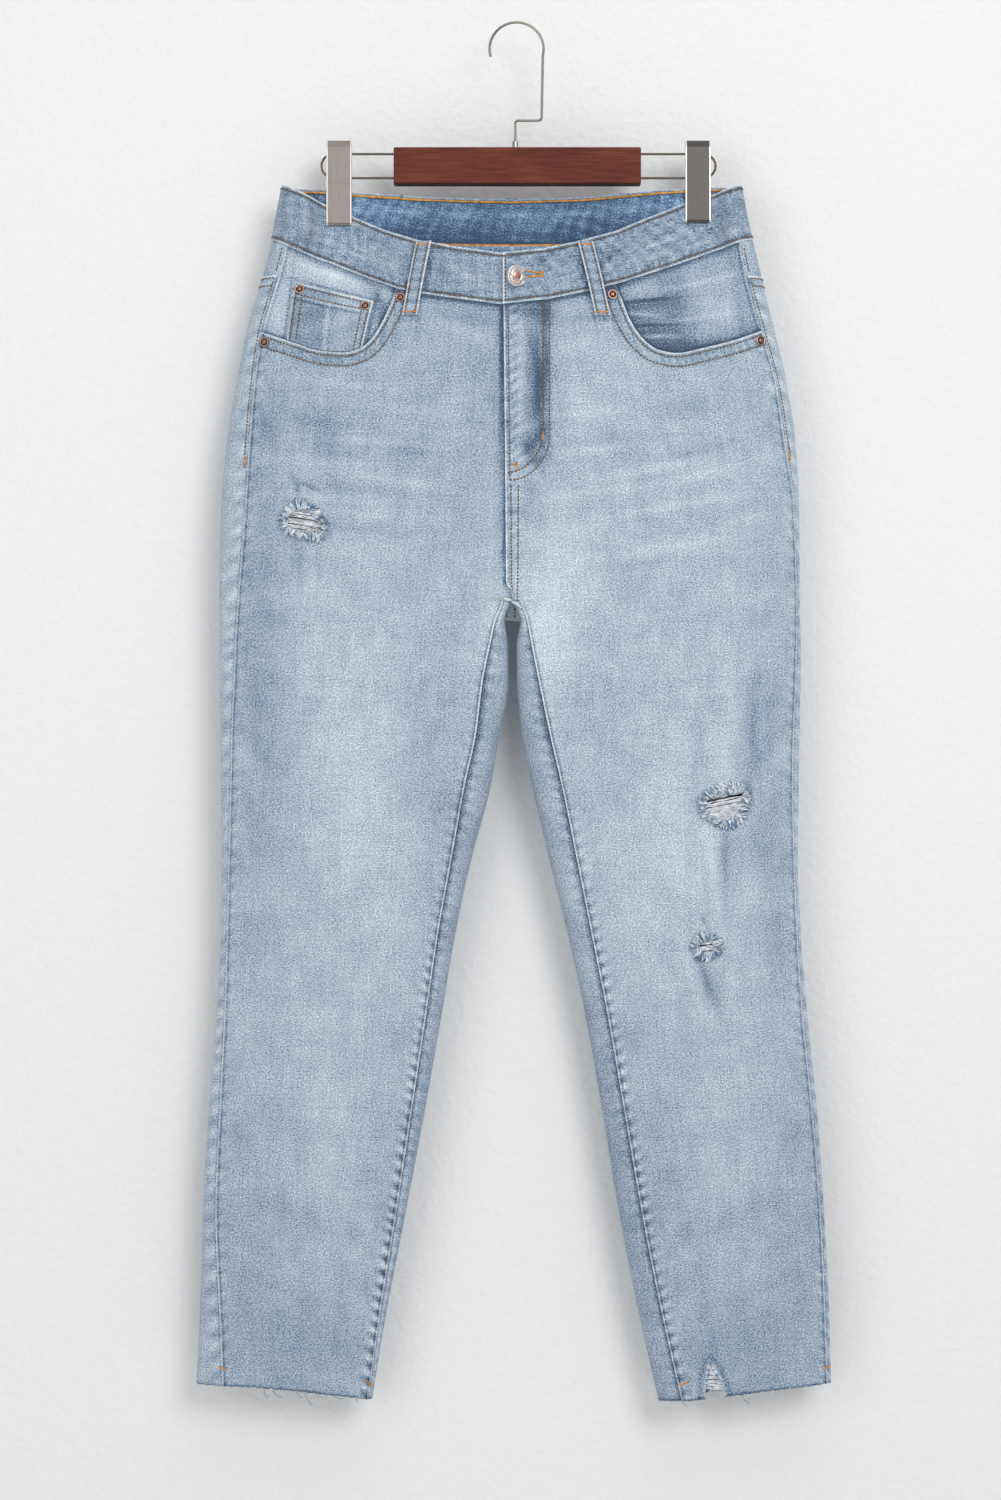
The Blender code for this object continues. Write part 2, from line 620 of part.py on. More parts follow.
def band_stations():
    """Places round the waistband, from the right end at the centre front to the left end that laps it.

    Shares run from 0 at the centre to 1 at the far side of the clip and 2 at the fold of the side.
    """
    stations = []
    for side in (RIGHT, LEFT):
        near_clip = 1 - 2 * CLIP_FLAT / abs(clip_far(side) - CENTRE)
        shares = [*np.linspace(0, near_clip, 7), (near_clip + 1) / 2, 1.0, *FOLD_SHARES]
        first, second = ("front", "back") if side == RIGHT else ("back", "front")
        way_out = [(side, first, share) for share in shares]
        way_back = [(side, second, share) for share in reversed(shares[:-1])]
        stations += way_out + way_back if side == RIGHT else (way_out + way_back)[1:]
    return stations + [(LEFT, "lap", 0.5), (LEFT, "lap", 1.0)]


def clip_far(side):
    """x of the outward edge of the pinched strip."""
    return CLIP_X[side] + side * CLIP_FLAT


def band_x(side, share, fold_x):
    """x of a station of the waistband where its side folds at fold_x."""
    far = clip_far(side)
    if share <= 1:
        return CENTRE + (far - CENTRE) * share
    return far + (fold_x - far) * (share - 1)


def make_waistband():
    """One strip all round. Its left end laps over the right one at the centre front."""
    stations = band_stations()

    def point(row, col, out):
        side, face, share = stations[col]
        part = row / (BAND_ROWS - 1)
        if face == "lap":
            x = CENTRE + (fly_x(FLY_AT_BAND) - CENTRE) * share
            down = along(BAND_FRONT_TOP, x) * (1 - part) + along(BAND_FRONT_SEAM, x) * part
            return on_ring(RIGHT, down, run_at_x(RIGHT, "front", down, x), out + WALL + SEAM)
        top_x, seam_x = (band_x(side, share, fold) for fold in BAND_FOLD_X[side])
        top, seam = ((BAND_FRONT_TOP, BAND_FRONT_SEAM) if face == "front"
                     else (BAND_BACK_TOP, BAND_BACK_SEAM))
        down = along(top, top_x) * (1 - part) + along(seam, seam_x) * part
        points, _, _, turn = ring(side, round(float(down), 3))
        at = run_at_x(side, face, down, band_x(side, share, points[turn, 0]))
        lift = fly_lift(at) if side == LEFT and face == "front" else 0.0
        first_end = SEAM / 2 if side == RIGHT and face == "front" and share == 0 else 0.0
        return on_ring(side, down, at + first_end, out + lift)

    wall_piece("waistband", "denim", point, BAND_ROWS, len(stations))


def mouth_curve(side, count=4):
    """Pocket mouth as a smooth run of places."""
    points = np.array(POCKET_MOUTHS[side], dtype=float)
    marks = np.concatenate(([0.0], np.cumsum(np.linalg.norm(np.diff(points, axis=0), axis=1))))
    at = np.linspace(0, marks[-1], count * (len(points) - 1) // 2 + 1)
    return [(float(smooth_curve(marks, points[:, 0], mark)), float(smooth_curve(marks, points[:, 1], mark)))
            for mark in at]


def mouth_outline(side):
    """Everything above the pocket mouth, out to beyond the side seam."""
    start, far = POCKET_MOUTHS[side][0][0], side * MOUTH_CUT["far"]
    return mouth_curve(side) + [(far, MOUTH_CUT["low"]), (far, MOUTH_CUT["high"]), (start, MOUTH_CUT["high"])]


def make_facing(side):
    """Facing behind a pocket mouth, on the same lines as the front panel and one wall further in."""
    panel_point, _, columns = front_point(side)
    first = columns - FACING_COLUMNS

    def point(row, col, out):
        return panel_point(row, first + col, out)

    wall_piece(f"pocket_facing_{SIDE_NAMES[side]}", "denim", point, FACING_ROWS, FACING_COLUMNS,
               out=-(WALL + SEAM))


def make_coin_pocket():
    """Small patch on the right facing, from its hemmed top down to the pocket mouth."""
    rows, columns = 5, 7
    mouth = mouth_curve(RIGHT, 6)
    facing = surfaces(f"pocket_facing_{SIDE_NAMES[RIGHT]}")

    def point(row, col, out):
        share = col / (columns - 1)
        part = row / (rows - 1)
        top_x = COIN_TOP[0][0] + (COIN_TOP[1][0] - COIN_TOP[0][0]) * share
        foot_x = COIN_FOOT_X[0] + (COIN_FOOT_X[1] - COIN_FOOT_X[0]) * share
        x = top_x + (foot_x - top_x) * part
        down = along(COIN_TOP, top_x) * (1 - part) + (along(mouth, foot_x) - COIN_CLEAR) * part
        return laid_on(facing, "front", x, down, out)

    wall_piece("coin_pocket", "denim", point, rows, columns, out=COIN_LAID + COIN_WALL, thick=COIN_WALL)


def make_belt_loops():
    """Straps over the waistband, fast at both ends and arched off the cloth between."""
    rows, columns = 6, 3
    carriers = surfaces("waistband", "front_right", "front_left", "yoke_right", "yoke_left")
    for number, (face, top_x, top, foot_x, foot) in enumerate(BELT_LOOPS):

        def point(row, col, out):
            part = row / (rows - 1)
            x = top_x + (foot_x - top_x) * part + LOOP_WIDTH * (col / (columns - 1) - 0.5)
            down = top + (foot - top) * part
            arch = LOOP_ARCH * math.sin(math.pi * part)
            return laid_on(carriers, face, x, down, out + arch)

        wall_piece(f"belt_loop_{number + 1}", "denim", point, rows, columns, out=LAID + LOOP_WALL,
                   thick=LOOP_WALL)


def make_back_pocket(side):
    """Five-sided patch pocket on the back panel."""
    size = BACK_POCKET
    rows, columns = 8, 7
    name = SIDE_NAMES[side]
    carriers = surfaces(f"seat_{name}")

    def point(row, col, out):
        share = col / (columns - 1)
        part = row / (rows - 1)
        foot = size["point"] - (size["point"] - size["corner"]) * abs(2 * share - 1)
        down = size["top"] + (foot - size["top"]) * part
        narrow = size["taper"] * part
        inner, outer = size["inner"] + narrow, size["outer"] - narrow
        x = CENTRE + side * (inner + (outer - inner) * share)
        return laid_on(carriers, "back", x, down, out)

    wall_piece(f"back_pocket_{name}", "denim", point, rows, columns, out=LAID + WALL)


def cut(target, name, outline):
    """Cut an outline in x and down straight through a piece of the front."""
    mesh = bpy.data.meshes.new(name)
    body = bmesh.new()
    near, far = CUT_DEPTH
    base = body.faces.new([body.verts.new(Vector((x, near, -down)) * MM) for x, down in outline])
    swept = bmesh.ops.extrude_face_region(body, geom=[base])
    moved = [item for item in swept["geom"] if isinstance(item, bmesh.types.BMVert)]
    bmesh.ops.translate(body, verts=moved, vec=Vector((0, far - near, 0)) * MM)
    bmesh.ops.recalc_face_normals(body, faces=body.faces)
    body.to_mesh(mesh)
    body.free()
    cutter = bpy.data.objects.new(name, mesh)
    CUTTERS.objects.link(cutter)
    cutter.hide_render = True
    cutter.display_type = "WIRE"
    boolean = target.modifiers.new(name, "BOOLEAN")
    boolean.operation = "DIFFERENCE"
    boolean.solver = "EXACT"
    boolean.object = cutter


def turned(name, look, profile, segments, place, axis):
    """Turned piece: profile is radius and height, from the middle of the top down its outer side."""
    mesh = bpy.data.meshes.new(name)
    body = bmesh.new()
    made = [body.verts.new((radius * MM, 0, height * MM)) for radius, height in profile]
    for start, end in zip(made, made[1:]):
        body.edges.new((start, end))
    body.to_mesh(mesh)
    body.free()
    piece = add_object(name, mesh, look)
    screw = piece.modifiers.new("turn", "SCREW")
    screw.steps = segments
    screw.render_steps = segments
    screw.use_merge_vertices = True
    screw.merge_threshold = 0.00001
    piece.location = place
    piece.rotation_euler = axis.to_track_quat("Z", "Y").to_euler()
    return piece


def make_button():
    """Ringed shank button on the lapped end of the waistband."""
    x, down = BUTTON_AT
    axis = facing_out("front", x, down)
    base = laid_on(surfaces("waistband"), "front", x, down, SEAM)
    profile = ((0, 4.6), (2.9, 4.7), (3.6, 4.3), (5.9, 4.6), (7.3, 4.2), (7.9, 3.3), (7.3, 2.6),
               (3.1, 2.3), (2.9, 0), (0, 0))
    turned("button", "button", profile, 18, base, axis)


def make_rivets():
    """Domed rivets at the ends of the pocket mouths and on the coin pocket."""
    profile = ((0, 1.7), (1.6, 1.6), (2.2, 1.15), (3.6, 1.1), (4.4, 0.6), (4.5, 0), (0, 0))
    carriers = surfaces("front_right", "front_left")
    coin = surfaces("coin_pocket")
    for number, (x, down, seat) in enumerate(RIVETS):
        base = laid_on(coin if seat == "coin" else carriers, "front", x, down, SEAM)
        turned(f"rivet_{number + 1}", "rivet", profile, 10, base, facing_out("front", x, down))


def wire(name, look, places, radius, sides=2):
    """Round wire along places in x and down, in the middle plane."""
    curve = bpy.data.curves.new(name, "CURVE")
    curve.dimensions = "3D"
    curve.bevel_depth = radius * MM
    curve.bevel_resolution = sides
    curve.use_fill_caps = True
    spline = curve.splines.new("POLY")
    spline.points.add(len(places) - 1)
    for point, (x, down) in zip(spline.points, places):
        point.co = (x * MM, 0, -down * MM, 1)
    return add_object(name, curve, look)


def arc(x, down, radius, start, end, count):
    """Places along an arc, angles in degrees from +X towards up."""
    angles = [math.radians(start + (end - start) * step / count) for step in range(count + 1)]
    return [(x + radius * math.cos(angle), down - radius * math.sin(angle)) for angle in angles]


def make_hook():
    """Hook wire: round top, straight leg, and a jog back to the middle of the bar."""
    top = HOOK_ARC - HOOK_WIRE / 2
    jog, jog_x, stem_x, corner = (HOOK_STEM[key] for key in ("jog", "jog_x", "x", "corner"))
    places = arc(HOOK_ARC_X, top, HOOK_ARC, 196, -14, 18)
    places += arc(jog_x - corner, jog - corner, corner, 0, -90, 3)
    places += arc(stem_x + corner, jog + corner, corner, 90, 180, 3)
    places.append((stem_x, FERRULE["top"] - SEAM))
    wire("hook", "nickel", places, HOOK_WIRE / 2)
    tall = FERRULE["foot"] - FERRULE["top"]
    radius = FERRULE["radius"]
    profile = ((0, tall), (radius - 0.5, tall), (radius, tall - 0.6), (radius, 0), (0, 0))
    turned("ferrule", "nickel", profile, 16, Vector((stem_x, 0, -FERRULE["foot"])) * MM, Vector((0, 0, 1)))


def make_bar():
    """Wooden bar with eased edges."""
    size = BAR
    middle = Vector((size["left"] + size["right"], 0, -size["top"] - size["foot"])) * MM / 2
    lengths = Vector((size["right"] - size["left"], size["thick"], size["foot"] - size["top"])) * MM
    mesh = bpy.data.meshes.new("bar")
    body = bmesh.new()
    bmesh.ops.create_cube(body, size=1.0)
    for vert in body.verts:
        vert.co = middle + vert.co * lengths
    body.to_mesh(mesh)
    body.free()
    bar = add_object("bar", mesh, "wood")
    rounding = bar.modifiers.new("round", "BEVEL")
    rounding.width = size["round"] * MM
    rounding.segments = 2
    rounding.limit_method = "ANGLE"
    rounding.angle_limit = math.radians(50)


def make_wire_loop(side):
    """Long wire loop from the end of the bar, on which a clip slides."""
    start = BAR["right"] if side == LEFT else BAR["left"]
    start += side * SEAM
    radius = (LOOP_FOOT - LOOP_TOP) / 2
    turn = CLIP_X[side] + side * (LOOP_REACH - radius)
    bend = [(turn + side * radius * math.sin(angle), (LOOP_TOP + LOOP_FOOT) / 2 - radius * math.cos(angle))
            for angle in np.linspace(0, math.pi, 11)]
    places = [(start, LOOP_TOP)] + bend + [(start, LOOP_FOOT)]
    wire(f"wire_loop_{SIDE_NAMES[side]}", "nickel", places, LOOP_WIRE / 2)


def make_clip(side):
    """Clip: two plates that hug the wire loop above and the waistband below, and a spacer."""
    name = SIDE_NAMES[side]
    plate = CLIP_PLATE
    foot = CLIP_FOOT[side]
    on_wire = LOOP_WIRE / 2 + SEAM
    on_cloth = PINCHED_HALF + SEAM
    lip = 1.5
    profile = ((plate["top"], on_wire + 0.9), (plate["top"] + 5, on_wire), (128.2, on_wire),
               (132.6, on_cloth), (foot - 2, on_cloth), (foot, on_cloth + lip))
    for face, sign in (("front", -1), ("back", 1)):
        mesh = bpy.data.meshes.new(f"clip_{face}_{name}")
        body = bmesh.new()
        half = plate["width"] / 2
        lines = [[body.verts.new(Vector((CLIP_X[side] + x, sign * y, -down)) * MM) for down, y in profile]
                 for x in (-half, half)]
        for index in range(len(profile) - 1):
            body.faces.new((lines[0][index], lines[1][index], lines[1][index + 1], lines[0][index + 1]))
        body.normal_update()
        body.faces.ensure_lookup_table()
        if body.faces[1].normal.y * sign < 0:
            bmesh.ops.reverse_faces(body, faces=body.faces)
        body.to_mesh(mesh)
        body.free()
        piece = add_object(f"clip_{face}_{name}", mesh, "nickel")
        solid = piece.modifiers.new("sheet", "SOLIDIFY")
        solid.thickness = plate["thick"] * MM
        solid.offset = 1.0
        solid.use_even_offset = True
        edge = piece.modifiers.new("round", "BEVEL")
        edge.width = 0.4 * MM
        edge.segments = 1
        edge.limit_method = "ANGLE"
        edge.angle_limit = math.radians(50)
    half_room = on_wire - SEAM
    middle = Vector((CLIP_X[side], half_room, -(LOOP_TOP + LOOP_FOOT) / 2)) * MM
    profile = ((0, 2 * half_room), (4.0, 2 * half_room), (4.0, 0), (0, 0))
    turned(f"clip_spacer_{name}", "nickel", profile, 16, middle, Vector((0, -1, 0)))


for leftover in list(bpy.data.objects):
    bpy.data.objects.remove(leftover, do_unlink=True)

PART = new_collection(COLLECTION)
CUTTERS = new_collection("cutters")

for which in (RIGHT, LEFT):
    make_leg_panels(which)
    make_yoke(which)
    make_facing(which)
    make_back_pocket(which)
    make_wire_loop(which)
    make_clip(which)
make_waistband()
make_coin_pocket()
make_belt_loops()
make_button()
make_rivets()
make_hook()
make_bar()
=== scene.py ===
# Light-wash skinny jeans on a clip hanger: cloth, sewing, trim, hanger finish, light and camera.
# Sizes in the dictionaries are millimetres: x from the middle, down from the point where the hook hangs.
# Side -1 is the wearer's right leg, at -X, and side 1 the left one. The front faces -Y.
import math

import bpy
import numpy as np
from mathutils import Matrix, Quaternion, Vector


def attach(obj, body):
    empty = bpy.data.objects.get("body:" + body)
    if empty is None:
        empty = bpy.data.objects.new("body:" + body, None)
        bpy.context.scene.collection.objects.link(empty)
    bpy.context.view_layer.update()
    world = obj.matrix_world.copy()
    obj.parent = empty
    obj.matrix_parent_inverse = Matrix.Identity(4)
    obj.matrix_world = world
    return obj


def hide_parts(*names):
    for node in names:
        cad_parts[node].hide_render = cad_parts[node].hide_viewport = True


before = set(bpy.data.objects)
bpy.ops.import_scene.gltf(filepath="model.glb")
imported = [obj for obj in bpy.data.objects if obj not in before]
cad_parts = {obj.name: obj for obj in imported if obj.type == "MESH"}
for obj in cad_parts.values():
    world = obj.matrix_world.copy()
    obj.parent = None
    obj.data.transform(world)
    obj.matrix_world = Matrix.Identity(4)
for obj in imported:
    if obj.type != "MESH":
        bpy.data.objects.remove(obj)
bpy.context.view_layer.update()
print("frame loaded")

chance = np.random.default_rng(7)
sideNames = {-1: "right", 1: "left"}

# The form that the cloth follows.

body = {
    "centre": -3.0, "crotch": 473.6, "hips": 399.0, "hem": 1055.0, "wall": 1.2, "layer": 1.7, "saddle": 12.0,
    # down, outer edge, side seam
    "hipEdges": {-1: ((120, -189, -174), (161, -197, -182), (186, -201.5, -187.5), (214, -209, -195.5),
                      (255, -221, -207), (297, -229, -213.3), (338, -236, -217), (399, -241.5, -221),
                      (473, -243, -227)),
                 1: ((120, 183, 170), (161, 190.5, 177.5), (186, 196.5, 183.5), (214, 203, 190),
                     (255, 213, 201), (297, 222.5, 212.5), (338, 229, 219), (399, 232.5, 228),
                     (473, 233, 230.5))},
    # down, outer edge, side seam, inner edge, inseam
    "legEdges": {-1: ((473, -243, -227, -3.2, -9.5), (482, -243, -227.6, -7.1, -12.5),
                      (488, -243, -228, -9.2, -15.5), (511, -242.5, -229.5, -6.5, -21),
                      (540, -242.4, -230.5, -6, -26.8), (584, -241.8, -232.5, -13.6, -32.5),
                      (624, -241.5, -233.3, -20.2, -41.3), (686, -240.8, -234.9, -36.5, -52.5),
                      (747, -241.6, -236.5, -49.5, -63.5), (809, -244.9, -238.2, -60, -72.5),
                      (891, -251.4, -242.3, -74.3, -84.8), (973, -256.3, -245.5, -89.6, -97.2),
                      (1055, -258.8, -242.3, -105.6, -110.2), (1130, -262.5, -239, -118, -121)),
                 1: ((473, 233, 230.5, -2.8, 3.5), (482, 233, 230.5, 1.5, 6.2),
                     (488, 233.2, 230.6, 4.1, 8.6), (511, 233.8, 230.3, 0.9, 13), (540, 233.8, 229.5, 1.1, 18.8),
                     (584, 232.8, 227.6, 5.2, 28), (624, 232.2, 226.9, 13.4, 37.3),
                     (686, 231.6, 228.3, 27.8, 50), (747, 234, 230.8, 42.8, 62), (809, 238.9, 234.9, 56.2, 74.3),
                     (891, 247.1, 243, 70.8, 88.6), (973, 252.9, 249.7, 84.3, 102.8),
                     (1055, 257, 253.6, 100.5, 119), (1130, 259, 256, 117.5, 136))},
    # down, front depth, back depth, fullness at the centre seam, bluntness of the inner edge
    "depths": ((120, 22, 12, 1.0, 9), (186, 30, 15, 1.0, 9), (255, 28, 21, 0.98, 9), (338, 25, 25, 0.92, 9),
               (430, 23, 25, 0.8, 9), (473, 22, 24, 0.72, 9), (540, 21, 22, 0.85, 6), (620, 20, 21, 1.0, 4),
               (747, 18, 18, 1.0, 2.8), (891, 16, 16, 1.0, 2.4), (1130, 13, 13, 1.0, 2.3)),
    "outerBlunt": 2.4,
    "hems": {-1: ((-263, 1114.5), (-214, 1115.5), (-175, 1119), (-137, 1124), (-116, 1127.5)),
             1: ((114, 1129.5), (156, 1125), (210, 1118), (262, 1113))},
}

# Folds: face, x, down, heading from vertical in degrees, length, width, height. Negative ones sink in.
folds = (
    ("front", -152, 448, 12, 70, 16, -3.2), ("front", 168, 596, -14, 90, 14, 3.0),
    ("front", 150, 690, 6, 70, 12, -3.0), ("front", 163, 815, 20, 120, 16, -2.6),
    ("front", -150, 690, -24, 90, 22, 2.4), ("front", -168, 905, 22, 110, 20, 2.2),
    ("front", 92, 560, 30, 90, 18, 2.2), ("front", -60, 420, 58, 80, 16, 2.2),
    ("front", 60, 405, -60, 90, 16, -2.2), ("back", -130, 520, 62, 110, 16, -3.0),
    ("back", 128, 536, -60, 110, 16, -3.0), ("back", -165, 700, 76, 100, 18, 2.6),
    ("back", 150, 712, -74, 100, 18, 2.6), ("back", 172, 930, 30, 110, 18, 2.4),
    ("back", -175, 960, -28, 110, 18, 2.4),
    # the finer ones, which the solids leave out
    ("front", -40, 500, 12, 70, 9, -1.6), ("front", -64, 560, 18, 110, 12, -1.3),
    ("front", 30, 470, -8, 60, 10, 1.6), ("front", 60, 540, -16, 90, 12, 1.0),
    ("front", -150, 455, 20, 32, 7, -1.8), ("front", -176, 385, -38, 22, 6, -1.4),
    ("front", 147, 598, -3, 80, 5, -1.8), ("front", 170, 590, -3, 80, 9, 2.0),
    ("front", 190, 580, -4, 84, 6, -2.6), ("front", 158, 697, 8, 92, 5, 2.2),
    ("front", 169.5, 682, 0, 58, 3.6, -3.0), ("front", 154, 784, 19, 50, 3.4, -2.8),
    ("front", 145, 786, 15, 60, 5, 1.6), ("front", 165, 830, 16, 80, 6, -1.6),
    ("front", -178.3, 381, 13, 24, 2.2, -1.2), ("front", -167, 382, 66, 26, 2.2, -1.2),
    ("front", -152, 358, 8, 80, 9, -1.5), ("front", -200, 342, 4, 60, 7, -1.2),
    ("front", -176, 441, 9, 36, 6, -2.2), ("front", -160, 444, 5, 36, 4, -1.4),
    ("front", 160, 880, -8, 90, 9, -1.4), ("front", 176, 860, -20, 80, 10, 1.3),
    ("front", 120, 640, 8, 120, 16, 1.2), ("front", -120, 560, 4, 140, 22, 1.3),
    ("front", -204, 620, 2, 120, 12, -1.2), ("front", -110, 820, 14, 120, 16, -1.1),
    ("front", -196, 800, -6, 120, 14, 1.1), ("front", 212, 740, 4, 110, 10, -1.2),
    ("front", 216, 560, -3, 100, 9, 1.1), ("front", 96, 780, -12, 120, 12, -1.1),
    ("front", -100, 345, 80, 70, 7, -0.9), ("front", -140, 368, 84, 80, 8, 0.8),
    ("front", 120, 350, -78, 70, 7, -1.0), ("front", 84, 376, -80, 80, 9, 0.9),
    ("front", 150, 420, -70, 70, 9, -0.9), ("front", -190, 480, -60, 50, 9, 0.9),
    ("front", 141, 1096, -42, 24, 4.5, -1.6), ("front", 150, 1086, -30, 30, 6, 1.4),
    ("front", -180, 1000, 10, 90, 14, 1.0), ("front", 205, 1010, -8, 90, 14, 1.0),
    ("back", -60, 470, 50, 90, 10, -1.6), ("back", 58, 476, -48, 90, 10, -1.6),
    ("back", -190, 470, 70, 70, 10, 1.4), ("back", 186, 478, -68, 70, 10, 1.4),
    ("back", -120, 655, 70, 80, 9, -1.5), ("back", 116, 660, -72, 80, 9, -1.5),
    ("back", -170, 745, 82, 80, 9, -1.6), ("back", 168, 752, -80, 80, 9, -1.6),
    ("back", -150, 600, 10, 120, 16, 1.3), ("back", 146, 606, -8, 120, 16, 1.3),
    ("back", -190, 880, -12, 120, 14, -1.2), ("back", 188, 868, 12, 120, 14, -1.2),
    ("back", -150, 1010, 20, 80, 12, 1.1), ("back", 172, 1020, -16, 80, 12, 1.1),
)

clips = {"x": {-1: -144.7, 1: 149.5}, "flat": 11.0, "inward": 58.0, "outward": 13.0, "fullDown": 178.0,
         "endDown": 262.0, "widening": 0.9, "half": 1.55, "foot": {-1: 166.3, 1: 164.0}}

band = {
    "frontTop": ((-191.5, 133), (-155, 149), (-133, 158.5), (-108, 170), (-80, 180.5), (-48, 187.5), (-11, 193),
                 (21, 189.5), (51, 183), (81, 173.5), (108, 160.5), (138, 147.5), (185.5, 133)),
    "frontSeam": ((-201, 178.5), (-184, 186), (-150, 198), (-123, 209.5), (-96, 220.5), (-72, 226), (-42, 230.5),
                  (-12, 234.5), (25, 230.5), (57, 224), (87, 215.5), (112, 206), (137, 196.5), (163, 187),
                  (193, 178.5)),
    "backTop": ((-191.5, 133), (-133, 138.5), (-82, 140.5), (-4, 141.8), (55, 140.4), (109, 136.8), (185.5, 133)),
    "backSeam": ((-201, 178.5), (-110, 181), (-3, 182), (100, 181), (193, 178.5)),
    "folds": {-1: (-191.5, -201.0), 1: (185.5, 193.0)},
    "proud": 0.45,
    # shares of the way down the band, close together where it is sewn
    "parts": np.array([0, 0.7, 1.4, 2.1, 2.9, 3.7, 4.7, 6.2, 8.5, 11.5, 14.5, 17.5, 20.5, 23.5, 26.5, 29.5, 32.5,
                       35.5, 38.0, 39.8, 41.0, 42.0, 42.8, 43.6, 44.3, 45.0]) / 45,
}
yokeSeam = ((0.0, 209.5), (0.12, 210), (1.0, 249))   # share of the way from the side seam to the centre back, down
fly = {"edge": ((180, -11), (235, -10), (354, -8.8), (464, -8), (468, -3.0)), "flat": 13.0, "ease": 17.0,
       "foot": 464.0}
mouths = {
    -1: ((-98.2, 214), (-99, 225), (-101.5, 233), (-107.8, 247.5), (-116.7, 262), (-126.4, 270), (-139.4, 273.3),
         (-158.1, 271.8), (-179.2, 265.3), (-201, 257.6), (-216, 252)),
    1: ((82.2, 210), (83.3, 221), (87, 232.5), (93.6, 248.8), (103.4, 262.6), (115.6, 271.2), (130.2, 273.8),
        (153.4, 269.2), (178.1, 262.6), (194.8, 256.3), (212, 249)),
}
rips = {
    -1: (((-187, 408), (-184, 403), (-178.5, 399), (-168, 401), (-161.5, 407.5), (-157.4, 413), (-157.4, 420),
          (-168, 420.4), (-178.5, 418.8), (-185.5, 415)),),
    1: (((152.2, 640.5), (156, 635), (163.8, 632.6), (174.4, 631), (186.6, 629), (186, 638), (182, 648),
         (171, 655), (162, 651.5), (155, 647)),
        ((147, 756.2), (150.5, 752), (156, 750.4), (161, 752.5), (163.2, 756.5), (160, 760.5), (154.5, 762),
         (149.5, 760)),
        ((158.5, 1095.5), (163.5, 1102), (170, 1117), (172.5, 1140), (154, 1140), (154.8, 1124),
         (155.4, 1110))),
}


def smoothCurve(knots, values, at):
    # cubic through the knots that never overshoots them
    knots, values = np.asarray(knots, float), np.asarray(values, float)
    steps = np.diff(knots)
    slopes = np.diff(values) / steps
    inner = np.where(slopes[:-1] * slopes[1:] > 0,
                     2 * slopes[:-1] * slopes[1:] / (slopes[:-1] + slopes[1:] + 1e-12), 0.0)
    ends = np.concatenate(([slopes[0]], inner, [slopes[-1]]))
    at = np.clip(at, knots[0], knots[-1])
    index = np.clip(np.searchsorted(knots, at, side="right") - 1, 0, len(steps) - 1)
    step = steps[index]
    part = (at - knots[index]) / step
    return ((1 + 2 * part) * (1 - part) ** 2 * values[index] + part * (1 - part) ** 2 * step * ends[index]
            + part ** 2 * (3 - 2 * part) * values[index + 1] + part ** 2 * (part - 1) * step * ends[index + 1])


def along(points, x):
    xs, values = zip(*sorted(points))
    return np.interp(x, xs, values)


def ease(low, high, value):
    part = np.clip((np.asarray(value, float) - low) / (high - low), 0, 1)
    return part * part * (3 - 2 * part)


def bell(value, width, centre=0.0, power=2):
    # 1 at the centre, and less away from it
    return np.exp(-((value - centre) / width) ** power)


def unitOf(vectors):
    return vectors / np.linalg.norm(vectors, axis=-1)[..., None]


def marksAlong(points):
    # how far each point is along the line
    return np.concatenate(([0], np.cumsum(np.linalg.norm(np.diff(points, axis=0), axis=1))))


def tableAt(table, column, down):
    rows = np.array(table, float)
    return smoothCurve(rows[:, 0], rows[:, column], down)


def edgeX(side, which, down):
    down = np.asarray(down, float)
    below = tableAt(body["legEdges"][side], ("down", "outer", "seam", "inner", "inseam").index(which), down)
    if which in ("inner", "inseam"):
        above = np.full(down.shape, body["centre"])
    else:
        above = tableAt(body["hipEdges"][side], ("down", "outer", "seam").index(which), down)
    return np.where(down < body["crotch"], above, below)


def turned(x, down, heading):
    # distances across and along a line at a heading, in degrees from straight down
    angle = math.radians(heading)
    return x * math.cos(angle) - down * math.sin(angle), x * math.sin(angle) + down * math.cos(angle)


def foldHeight(face, x, down):
    height = np.zeros_like(x)
    for foldFace, foldX, foldDown, heading, length, width, rise in folds:
        if foldFace == face and abs(down - foldDown) < length:
            across, lengthwise = turned(x - foldX, down - foldDown, heading)
            height += rise * bell(across, width) * bell(2.2 * lengthwise, length)
    return height


def pinchAt(side, x, down):
    # 1 where a clip holds the two faces together
    outward = (x - clips["x"][side]) * side
    beyond = np.maximum(np.abs(outward) - clips["flat"], 0)
    widening = clips["widening"] * np.maximum(down - clips["fullDown"], 0)
    reach = np.where(outward > 0, clips["outward"] + widening, clips["inward"])
    return (1 - ease(clips["fullDown"], clips["endDown"], down)) * bell(beyond, reach)


samples = 150   # places on each face of a level section


